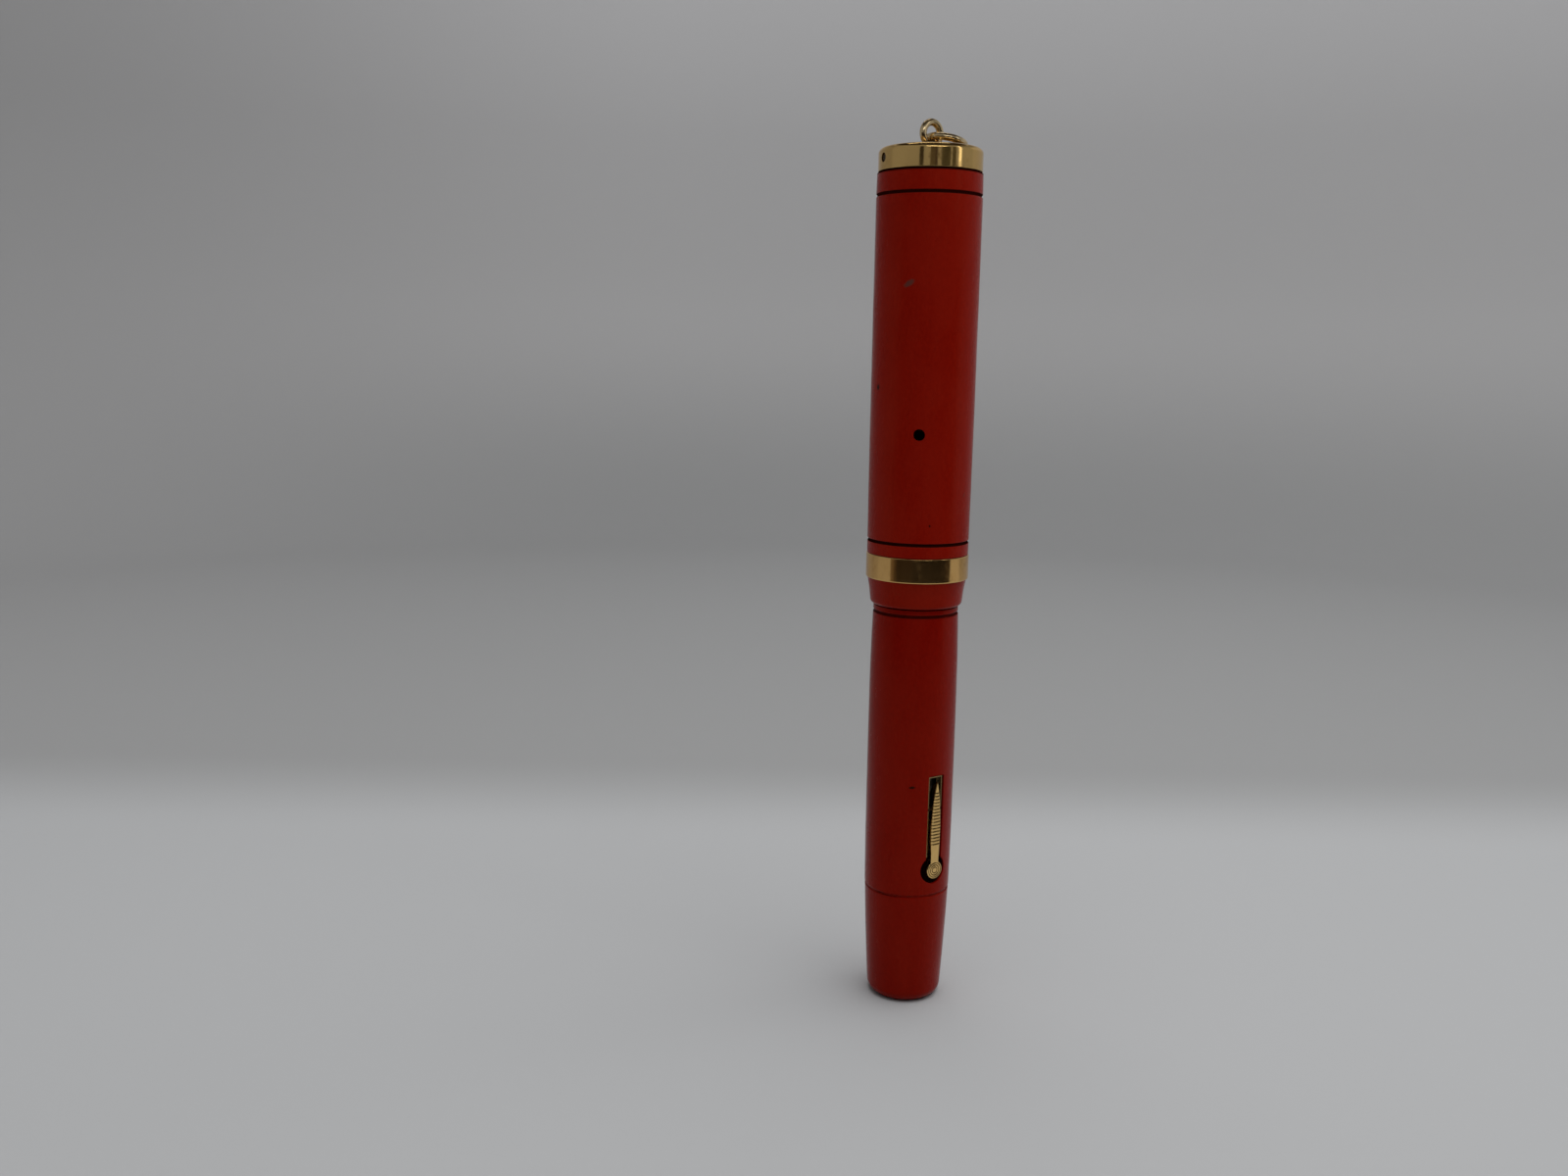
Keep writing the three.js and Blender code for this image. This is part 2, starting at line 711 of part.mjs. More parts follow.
// The J-shaped leaf: from the pressure bar down, round the bottom of the bore and up the far wall.
function barSpring() {
  const nearY = (BAR_FACE_Y + BAR_BACK_Y) / 2;
  const middleY = (LEAF_FAR_Y + nearY) / 2;
  const bendR = (LEAF_FAR_Y - nearY) / 2;
  const half = LEAF_THICKNESS / 2;
  const shape = new THREE.Shape([
    point(nearY - half, LEAF_NEAR_END_Z),
    ...round(middleY, LEAF_BEND_Z, bendR + half, 180, 360, 16),
    point(LEAF_FAR_Y + half, LEAF_FAR_END_Z),
    point(LEAF_FAR_Y - half, LEAF_FAR_END_Z),
    ...round(middleY, LEAF_BEND_Z, bendR - half, 360, 180, 16),
    point(nearY + half, LEAF_NEAR_END_Z),
  ]);
  return plateAlongX(shape, LEAF_HALF_WIDTH);
}

function inkSac() {
  const wall = SAC_R - SAC_BORE_R;
  const cornerZ = SAC_LOW_Z + SAC_CORNER;
  const outline = [
    point(0, SAC_LOW_Z),
    ...round(SAC_R - SAC_CORNER, cornerZ, SAC_CORNER, -90, 0, 4),
    point(SAC_R, SAC_TOP_Z),
    point(SAC_BORE_R, SAC_TOP_Z),
    ...round(SAC_R - SAC_CORNER, cornerZ, SAC_CORNER - wall, 0, -90, 4),
    point(0, SAC_LOW_Z + wall),
  ];
  return turned(outline, SIDES_SAC);
}

// ---- Assembly -----------------------------------------------------------------------------------

const pen = new THREE.Group();

function add(name, geometry, material) {
  const mesh = new THREE.Mesh(geometry, new THREE.MeshStandardMaterial(material));
  mesh.name = name;
  pen.add(mesh);
  return mesh;
}

add("barrel", barrel(), RED_RUBBER);
add("lever_box", leverBox(), GOLD_FILLED);
add("lever", lever(), GOLD_FILLED);
add("lever_pin", leverPin(), STEEL);
add("pressure_bar", pressureBar(), STEEL);
add("bar_spring", barSpring(), STEEL);
add("ink_sac", inkSac(), SAC_RUBBER);
add("section", section(), BLACK_RUBBER);
add("feed", feed(), BLACK_RUBBER);
add("nib", nib(), NIB_GOLD);
add("nib_tip", nibTip(), TIPPING);

add("cap_tube", capTube(), RED_RUBBER);
add("inner_cap", innerCap(), BLACK_RUBBER);
add("cap_band", capBand(), GOLD_FILLED);
add("crown_cap", crownCap(), GOLD_FILLED);
add("crown_pin", crownPin(), DARK_STEEL);
add("loop_collar", loopCollar(), GOLD_FILLED);
add("ring_loop", ringLoop(), GOLD_FILLED);
add("loop_washer", loopWasher(), STEEL);

const jump = add("jump_ring", jumpRing(), GOLD_FILLED);
jump.position.set(0, 0, CROWN_TOP_Z + JUMP_HINGE_HEIGHT);
jump.rotation.y = radians(JUMP_TILT);

export default pen;
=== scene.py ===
"""The looks of a ring-top, lever-filling fountain pen, built around its CAD frame.

Outlines and sizes are in millimetres; the meshes are made in metres. A height is measured from the
flat end of the barrel, which the pen stands on. An azimuth turns from -Y towards +X, in degrees.
"""
import math

import bmesh
import bpy
import numpy as np
from mathutils import Matrix, Vector

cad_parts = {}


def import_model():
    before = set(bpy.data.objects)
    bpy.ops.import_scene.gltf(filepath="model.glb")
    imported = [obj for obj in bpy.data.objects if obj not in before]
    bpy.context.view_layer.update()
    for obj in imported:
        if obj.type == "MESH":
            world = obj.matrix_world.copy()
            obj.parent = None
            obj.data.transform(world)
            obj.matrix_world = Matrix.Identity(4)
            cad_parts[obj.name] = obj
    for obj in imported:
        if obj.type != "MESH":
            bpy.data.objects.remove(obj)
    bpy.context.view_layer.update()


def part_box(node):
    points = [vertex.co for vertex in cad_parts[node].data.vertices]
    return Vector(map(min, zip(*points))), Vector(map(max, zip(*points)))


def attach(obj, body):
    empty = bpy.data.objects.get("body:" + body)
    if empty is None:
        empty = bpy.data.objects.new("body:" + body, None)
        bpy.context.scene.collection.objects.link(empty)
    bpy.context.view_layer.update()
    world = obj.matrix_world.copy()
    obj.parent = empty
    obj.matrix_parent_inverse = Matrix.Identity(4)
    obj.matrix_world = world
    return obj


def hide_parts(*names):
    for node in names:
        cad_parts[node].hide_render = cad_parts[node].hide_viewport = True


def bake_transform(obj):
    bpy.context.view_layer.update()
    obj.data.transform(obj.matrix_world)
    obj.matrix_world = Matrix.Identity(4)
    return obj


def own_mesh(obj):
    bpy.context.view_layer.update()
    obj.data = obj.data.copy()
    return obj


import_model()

MM = 0.001
TURN = 2 * math.pi

# ---- Sizes read from the frame ----


def heights(node):
    """A node's lowest and highest point."""
    low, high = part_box(node)
    return low.z / MM, high.z / MM


def half_width(node):
    """Half of a node's size along X, which is a turned node's radius."""
    low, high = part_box(node)
    return (high.x - low.x) / 2 / MM


def depths(node):
    """A node's nearest and farthest point along Y."""
    low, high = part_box(node)
    return low.y / MM, high.y / MM


MOUTH_Z = heights("barrel")[1]
LIP_Z = heights("cap_tube")[0]
BAND_LOW_Z, BAND_HIGH_Z = heights("cap_band")
BAND_R = half_width("cap_band")
CROWN_LOW_Z, CROWN_TOP_Z = heights("crown_cap")
CROWN_R = half_width("crown_cap")
INNER_CAP_LOW_Z, INNER_CAP_TOP_Z = heights("inner_cap")
INNER_CAP_R = half_width("inner_cap")
WASHER_LOW_Z, WASHER_TOP_Z = heights("loop_washer")
WASHER_R = half_width("loop_washer")
STEM_END_Z = heights("ring_loop")[0]
NIPPLE_LOW_Z, SECTION_FRONT_Z = heights("section")
NIB_LOW_Z, NIB_END_Z = heights("nib")
NIB_R = half_width("nib")
FEED_LOW_Z, FEED_END_Z = heights("feed")
FEED_R = half_width("feed")
TIP_R = half_width("nib_tip")
TIP_TOP_Z = heights("nib_tip")[1]
LEVER_LOW_Z, LEVER_TIP_Z = heights("lever")
PADDLE_R = half_width("lever")
LEVER_FACE_Y = depths("lever")[0]
BOX_LOW_Z, BOX_TOP_Z = heights("lever_box")
BOX_HALF_WIDTH = half_width("lever_box")
BOX_FACE_Y, BOX_BACK_Y = depths("lever_box")
PIN_HALF_LENGTH = half_width("lever_pin")
BAR_LOW_Z, BAR_HIGH_Z = heights("pressure_bar")
BAR_HALF_WIDTH = half_width("pressure_bar")
BAR_FACE_Y, BAR_BACK_Y = depths("pressure_bar")
LEAF_HALF_WIDTH = half_width("bar_spring")
LEAF_END_Z = heights("bar_spring")[1]
SAC_LOW_Z, SAC_TOP_Z = heights("ink_sac")
SAC_R = half_width("ink_sac")

# ---- Sizes inside the nodes' boxes ----

BARREL_FULL_Z = 32
BARREL_FULL_R = 5.55
SHOULDER_Z = 51.75
SHOULDER_R = 5.32
TAPER_START_Z = 14.77
TAPER_START_R = 5.44
TAPER_TOP_R = 5.41
TAPER_SLOPE = 0.03
TAPER_BULGE = 0.0014
END_CORNER = 1.45
NECK_R = 4.72
BORE_R = 4
BORE_FLOOR_Z = 5
THREAD_LOW_Z = 54
THREAD_HIGH_Z = 57
THREAD_LEAD = 2
THREAD_PITCH = 1
THREAD_HEIGHT = 0.28
RING_WIDTH = 0.42
RING_DEPTH = 0.14
BARREL_RING_Z = 50.97
CAP_LOW_RING_Z = 59.98
CAP_HIGH_RING_Z = 101.49
LIP_SIDE = [(5.54, 51.95), (5.71, 52.15), (5.79, 52.5), (5.94, 53.8), (6.19, 55.24)]
CAP_LOW_R = 6.31
CAP_FULL_R = 6.4
CAP_FULL_Z = 80
CAP_STRAIGHT_TOP_Z = 100
CAP_TOP_R = 6.34
CAP_SHOULDER_Z = 104.1
CAP_TENON_R = 5.83
CAP_TENON_TOP_Z = 106.56
CAP_MOUTH_R = 5.2
CAP_MOUTH_TOP_Z = 53.5
CAP_BORE_R = 5.38
CAP_BORE_TOP_Z = 103.6
BAND_SEAT_R = 6
BAND_EDGE = 0.15
GAP = 0.03
VENT_R = 0.7
VENT_Z = 73.3
VENT_AZIMUTH = -40.9
INNER_CAP_BORE_R = 4.1
INNER_CAP_CEILING_Z = 98.8
CROWN_WALL = 0.4
CROWN_EDGE = 0.65
PIN_AZIMUTH = -101
PIN_Z = 105.65
PIN_R = 0.5
PIN_HOLE_R = 0.54
PIN_INNER_R = 4.9
PIN_OUTER_R = 6.13
STEM_R = 0.6
STEM_HOLE_R = 0.7
EYE_R = 1.28
EYE_WIRE_R = 0.43
EYE_SEAT_R = 0.5
EYE_Z = CROWN_TOP_Z + 1.79
COLLAR_SIDE = [(2.2, 107.08), (2.2, 107.2), (1.65, 107.36), (1.25, 107.63), (1.05, 107.93)]
JUMP_RING_R = 2.25
JUMP_WIRE_R = 0.45
JUMP_HINGE_Z = CROWN_TOP_Z + 1.45
JUMP_TILT = 11.55
GRIP_SIDE = [(4.62, 60.15), (4.5, 63.15), (4.14, 68.15), (4, 71.15), (4.12, 73.1), (4.4, 74.3)]
SECTION_EDGE_R = 4.05
TENON_R = 3.9
TENON_LOW_Z = 52
NIPPLE_R = 2.6
NIB_BORE_R = 3
NIB_BORE_LOW_Z = 63
INK_CHANNEL_R = 1
NIB_SHOULDER_Z = 79
NIB_THICKNESS = 0.3
NIB_WRAP = 95
NIB_END_HALF_WIDTH = 0.35
NIB_DROP = 1.2
NIB_DROP_POWER = 1.6
NIB_TAPER_POWER = 0.85
BREATHER_Z = 83
BREATHER_R = 0.6
SLIT_WIDTH = 0.12
FEED_END_DEPTH = 0.7
FEED_END_HALF_WIDTH = 0.6
FEED_DEPTH_POWER = 1.3
FEED_WIDTH_POWER = 1.5
COMB_LOW_Z = 76.2
COMB_HIGH_Z = 83.6
COMB_PITCH = 0.55
COMB_DEPTH = 0.22
SLOT_HALF_WIDTH = 1.17
SLOT_TOP_Z = 30.58
SLOT_LOW_Z = 19.4
SLOT_CORNER = 0.12
RECESS_R = 1.85
RECESS_FLOOR_Y = -4.45
EDGE_FLARE = 0.05
PADDLE_Z = LEVER_LOW_Z + PADDLE_R
PIVOT_Y = -4.9
PIVOT_Z = 26.2
LEVER_SIDE = [(0.68, 20.5), (0.8, 22), (0.8, 24.2), (0.64, 26.2), (0.5, 27.7), (0.3, 28.8), (0.1, 29.7)]
LEVER_BACK = [(-4.75, 20.4), (-4.4, 21), (-4.4, 28), (-5.1, 29.7)]
LEVER_EDGE = 0.14
RIB_LOW_Z = 21.5
RIB_HIGH_Z = 28.7
RIB_PITCH = 0.42
RIB_DEPTH = 0.04
STEM_NARROWING = 0.87
PADDLE_RINGS = [0.38, 0.66, 0.94]
ENGRAVED_WIDTH = 0.14
BOX_WALL = 0.2
LEVER_PIN_R = 0.28
LEVER_PIN_HOLE_R = 0.34
BAR_SHEET = 0.25
LEAF_THICKNESS = 0.25
LEAF_BEND_Z = 9
LEAF_FAR_Y = 3.6
LEAF_NEAR_END_Z = 12.9
SAC_WALL = 0.42
SAC_CORNER = 1.6
SAC_SPLIT_Z = 46.2

# How far a cutter reaches past the surface that it cuts.
REACH = 1

# ---- Outlines ----


def steps(start, end, count):
    """Evenly spaced values, both ends included."""
    return [start + (end - start) * i / count for i in range(count + 1)]


def arc(centre, radius, start, end, count):
    """Points on a round, from one angle to the other, in degrees."""
    turns = [math.radians(a) for a in steps(start, end, count)]
    return [(centre[0] + radius * math.cos(t), centre[1] + radius * math.sin(t)) for t in turns]


def rectangle(left, right, low, high):
    return [(left, low), (right, low), (right, high), (left, high)]


def smooth(points, per_span=8):
    """A soft curve through the points."""
    p = [np.array(q, float) for q in [points[0], *points, points[-1]]]
    curve = []
    for a, b, c, d in zip(p, p[1:], p[2:], p[3:]):
        for t in steps(0, 1, per_span)[:-1]:
            bend = (2 * a - 5 * b + 4 * c - d) * t ** 2 + (3 * (b - c) + d - a) * t ** 3
            curve.append(tuple(b + ((c - a) * t + bend) / 2))
    return [*curve, tuple(points[-1])]


def eased(outline, reach, closed=False, count=4):
    """The outline with each corner rounded off, starting at a reach before it."""
    p = [np.array(q, float) for q in outline]
    result = []
    for i, corner in enumerate(p):
        before, after = p[i - 1] - corner, p[(i + 1) % len(p)] - corner
        long_before, long_after = np.linalg.norm(before), np.linalg.norm(after)
        is_end = not closed and i in (0, len(p) - 1)
        if is_end or np.dot(before, after) < -0.95 * long_before * long_after:
            result.append(tuple(corner))
            continue
        near = corner + before / long_before * min(reach, long_before * 0.45)
        far = corner + after / long_after * min(reach, long_after * 0.45)
        for t in steps(0, 1, count):
            result.append(tuple((1 - t) ** 2 * near + 2 * t * (1 - t) * corner + t ** 2 * far))
    return result


def grown(outline, distance):
    """A closed outline, drawn counter-clockwise, moved outwards."""
    result = []
    for i, (x, y) in enumerate(outline):
        ahead, behind = outline[(i + 1) % len(outline)], outline[i - 1]
        along = Vector((ahead[0] - behind[0], ahead[1] - behind[1])).normalized()
        result.append((x + along.y * distance, y - along.x * distance))
    return result


def barrel_radius(z):
    if z < TAPER_START_Z:
        down = TAPER_START_Z - z
        return TAPER_TOP_R - TAPER_SLOPE * down - TAPER_BULGE * down ** 2
    if z < BARREL_FULL_Z:
        down = (BARREL_FULL_Z - z) / (BARREL_FULL_Z - TAPER_START_Z)
        return BARREL_FULL_R - (BARREL_FULL_R - TAPER_START_R) * down ** 3
    up = (z - BARREL_FULL_Z) / (SHOULDER_Z - BARREL_FULL_Z)
    return BARREL_FULL_R - (BARREL_FULL_R - SHOULDER_R) * up ** 4


def cap_radius(z):
    if z < CAP_FULL_Z:
        down = (CAP_FULL_Z - z) / (CAP_FULL_Z - BAND_HIGH_Z)
        return CAP_FULL_R - (CAP_FULL_R - CAP_LOW_R) * down ** 2
    up = max(0, (z - CAP_STRAIGHT_TOP_Z) / (CAP_SHOULDER_Z - CAP_STRAIGHT_TOP_Z))
    return CAP_FULL_R - (CAP_FULL_R - CAP_TOP_R) * up ** 2


def side(radius_at, low, high, count):
    """Points up a side, from its radius at each height."""
    return [(radius_at(z), z) for z in steps(low, high, count)]


def ring_groove(z, radius_at):
    """A turned decorative ring, without its two ends on the surface."""
    half = RING_WIDTH / 2
    floor = min(radius_at(z - half), radius_at(z + half)) - RING_DEPTH
    return [(floor, z - half * 0.6), (floor, z + half * 0.6)]


def thread(angle, z):
    """How far a two-start right-hand thread stands off its wall."""
    along = (z - THREAD_LOW_Z - THREAD_LEAD * angle / TURN) % THREAD_PITCH
    off_crest = min(along, THREAD_PITCH - along)
    ridge = min(1, max(0, (0.42 - off_crest) / 0.28))
    fade = min(1, max(0, min(z - THREAD_LOW_Z, THREAD_HIGH_Z - z) + 0.3) / 0.5)
    return THREAD_HEIGHT * fade * ridge ** 2 * (3 - 2 * ridge)


def neck_relief(angle, z, radius):
    """The thread outside the barrel's neck."""
    return thread(angle, z) if abs(radius - NECK_R) < 0.01 else 0


def bore_relief(angle, z, radius):
    """The thread inside the cap's bore."""
    return -thread(angle, z) if abs(radius - CAP_BORE_R) < 0.01 else 0


def thread_rows(radius):
    """Points up a wall, close enough together to carry the thread."""
    return [(radius, z) for z in steps(THREAD_LOW_Z - 0.35, THREAD_HIGH_Z + 0.35, 50)]


def nib_drop(z):
    along = max(0, (z - SECTION_FRONT_Z) / (NIB_END_Z - SECTION_FRONT_Z))
    return NIB_DROP * along ** NIB_DROP_POWER


def nib_half_angle(z):
    end = NIB_END_HALF_WIDTH / NIB_R
    along = max(0, (z - NIB_SHOULDER_Z) / (NIB_END_Z - NIB_SHOULDER_Z))
    return end + (math.radians(NIB_WRAP) - end) * (1 - along ** NIB_TAPER_POWER)


# ---- Meshes ----

LARGE = 160
MEDIUM = 96
SMALL = 40
SAME_FACE = math.cos(math.radians(35))
ROUND_FACE = math.cos(math.radians(6))


def mesh_object(name, points, faces):
    mesh = bpy.data.meshes.new(name)
    mesh.from_pydata([tuple(v * MM for v in p) for p in points], [], faces)
    mesh.validate()
    piece = bpy.data.objects.new(name, mesh)
    bpy.context.scene.collection.objects.link(piece)
    return outward(piece)


def outward(piece):
    """Turns every face of a closed mesh outwards."""
    net = bmesh.new()
    net.from_mesh(piece.data)
    bmesh.ops.recalc_face_normals(net, faces=net.faces)
    net.to_mesh(piece.data)
    net.free()
    return piece


def turned(name, outline, closed=False, count=LARGE, relief=None):
    """An outline of (radius, height) points turned about Z. A relief moves points off their radius."""
    points, rings, faces = [], [], []
    for radius, z in outline:
        start = len(points)
        if radius < 1e-6:
            points.append((0, 0, z))
            rings.append([start] * count)
            continue
        rings.append(range(start, start + count))
        for angle in steps(0, TURN, count)[:-1]:
            r = radius + (relief(angle, z, radius) if relief else 0)
            points.append((r * math.sin(angle), -r * math.cos(angle), z))
    for low, high in zip(rings, [*rings[1:], rings[0]] if closed else rings[1:]):
        for i in range(count):
            j = (i + 1) % count
            corners = [low[i], low[j], high[j], high[i]]
            faces.append([v for k, v in enumerate(corners) if v != corners[k - 1]])
    return mesh_object(name, points, faces)


def skinned(name, rings, closed=False):
    """A skin over rings of points, each ring with the same number of points."""
    size = len(rings[0])
    points = [p for ring in rings for p in ring]
    faces = []
    for i in range(len(rings) if closed else len(rings) - 1):
        low, high = i * size, (i + 1) % len(rings) * size
        for j in range(size):
            k = (j + 1) % size
            faces.append([low + j, low + k, high + k, high + j])
    if not closed:
        faces.append(list(range(size)))
        faces.append([len(points) - size + j for j in range(size)])
    return mesh_object(name, points, faces)


def torus(name, ring_r, wire_r, seam=0, count=96, sides=28):
    """A ring of round wire in the XY plane, open by a seam where the wire's two ends meet."""
    rings = []
    for turn in steps(seam / ring_r / 2, TURN - seam / ring_r / 2, count)[: None if seam else -1]:
        out = Vector((math.cos(turn), math.sin(turn), 0))
        section = arc((ring_r, 0), wire_r, 0, 360, sides)[:-1]
        rings.append([(*(out * r).xy, z) for r, z in section])
    return skinned(name, rings, closed=not seam)


def rod(name, radius, start, end, edge=0.05, count=SMALL):
    """A round rod between two points, with softened ends."""
    start, end = Vector(start), Vector(end)
    length = (end - start).length
    outline = eased([(0, 0), (radius, 0), (radius, length), (0, length)], edge)
    piece = turned(name, outline, count=count)
    aim = (end - start).to_track_quat("Z", "Y").to_matrix().to_4x4()
    piece.data.transform(Matrix.Translation(start * MM) @ aim)
    return piece


def radial(azimuth, radius, z):
    """A point at an azimuth."""
    a = math.radians(azimuth)
    return Vector((radius * math.sin(a), -radius * math.cos(a), z))


def radial_rod(radius, azimuth, inner_r, outer_r, z, name="cutter", edge=0.05):
    """A rod that points away from the axis."""
    return rod(name, radius, radial(azimuth, inner_r, z), radial(azimuth, outer_r, z), edge)


def pivot_rod(name, radius, half_length):
    """A rod across the pen on the lever's pivot."""
    return rod(name, radius, (-half_length, PIVOT_Y, PIVOT_Z), (half_length, PIVOT_Y, PIVOT_Z), 0.03)


def on_barrel(outline, depth):
    """An outline of (x, z) points laid on the barrel's front, a depth under its surface."""
    return [(x, -math.sqrt((barrel_radius(z) - depth) ** 2 - x ** 2), z) for x, z in outline]


def pocket(outline, floor_y):
    """A cutter for the barrel's front, from a floor outwards, with a flare at the surface."""
    wide = grown(outline, EDGE_FLARE * 4)
    rings = [
        [(x, floor_y, z) for x, z in outline],
        on_barrel(outline, EDGE_FLARE),
        on_barrel(wide, -EDGE_FLARE * 3),
        [(x, -BARREL_FULL_R - REACH, z) for x, z in wide],
    ]
    return skinned("cutter", rings)


def freeze(piece):
    """Applies the piece's modifiers."""
    whole = piece.evaluated_get(bpy.context.evaluated_depsgraph_get())
    mesh = bpy.data.meshes.new_from_object(whole)
    piece.modifiers.clear()
    piece.data = mesh
    return piece


def soften(piece, width, count=3):
    bevel = piece.modifiers.new("soften", "BEVEL")
    bevel.width = width * MM
    bevel.segments = count
    bevel.limit_method = "ANGLE"
    bevel.angle_limit = math.radians(40)
    return freeze(piece)


def combine(piece, tool, operation):
    boolean = piece.modifiers.new("combine", "BOOLEAN")
    boolean.operation = operation
    boolean.solver = "EXACT"
    boolean.object = tool
    freeze(piece)
    bpy.data.objects.remove(tool)
    return piece


def cut(piece, *tools):
    for tool in tools:
        combine(piece, tool, "DIFFERENCE")
    return piece


def spokes(points):
    """The direction from the axis to each point, seen from above."""
    return points[:, :2] / (np.hypot(points[:, 0], points[:, 1])[:, None] + 1e-12)


def shade(mesh, is_turned):
    """Smooth normals that keep edges crisp and make a turned piece's sides perfectly round."""
    mesh.shade_smooth()
    loops, faces = len(mesh.loops), len(mesh.polygons)
    corner, start = np.empty(loops, np.int64), np.empty(faces, np.int64)
    area, place = np.empty(faces), np.empty(len(mesh.vertices) * 3)
    normal, centre = np.empty(faces * 3), np.empty(faces * 3)
    mesh.loops.foreach_get("vertex_index", corner)
    mesh.polygons.foreach_get("loop_start", start)
    mesh.polygons.foreach_get("area", area)
    mesh.polygons.foreach_get("normal", normal)
    mesh.polygons.foreach_get("center", centre)
    mesh.vertices.foreach_get("co", place)
    normal, centre, place = (a.reshape(-1, 3) for a in (normal, centre, place))
    owner = np.repeat(np.arange(faces), np.diff([*start, loops]))

    # Each face's normal, split into its part away from the axis and its part along it.
    lean = np.stack([(normal[:, :2] * spokes(centre)).sum(1), normal[:, 2]], 1)
    spoke = spokes(place[corner])
    rounded = np.concatenate([spoke * lean[owner, :1], lean[owner, 1:]], 1)
    match = (rounded * normal[owner]).sum(1)
    on_lathe = (np.minimum.reduceat(match, start) > ROUND_FACE) & is_turned

    # Every face corner, paired with each corner that meets the same vertex.
    counts = np.bincount(corner, minlength=len(place))
    first = np.cumsum(counts) - counts
    order = np.argsort(corner, kind="stable")
    shared = counts[corner]
    one = np.repeat(np.arange(loops), shared)
    step = np.arange(len(one)) - np.repeat(np.cumsum(shared) - shared, shared)
    a, b = owner[one], owner[order[first[corner[one]] + step]]

    # Faces that bend little from one to the next share a normal.
    alike = ((normal[a] * normal[b]).sum(1) > SAME_FACE) & (on_lathe[a] == on_lathe[b])
    weight = area[b] * alike
    plain = np.stack([np.bincount(one, weight * normal[b, i], loops) for i in range(3)], 1)
    tilt = np.stack([np.bincount(one, weight * lean[b, i], loops) for i in range(2)], 1)
    rounded = np.concatenate([spoke * tilt[:, :1], tilt[:, 1:]], 1)
    result = np.where(on_lathe[owner][:, None], rounded, plain)
    result /= np.linalg.norm(result, axis=1)[:, None] + 1e-20
    mesh.normals_split_custom_set(result)


def place(piece, body, slot, material, nodes=(), is_turned=False):
    """Finishes a piece: its normals, material, body and the CAD nodes it stands for. The record slot is
    not used.
    """
    outward(piece)
    shade(piece.data, is_turned)
    piece.data.materials.clear()
    piece.data.materials.append(material)
    if body:
        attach(piece, body)
    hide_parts(*nodes)
    return piece


# ---- Materials ----


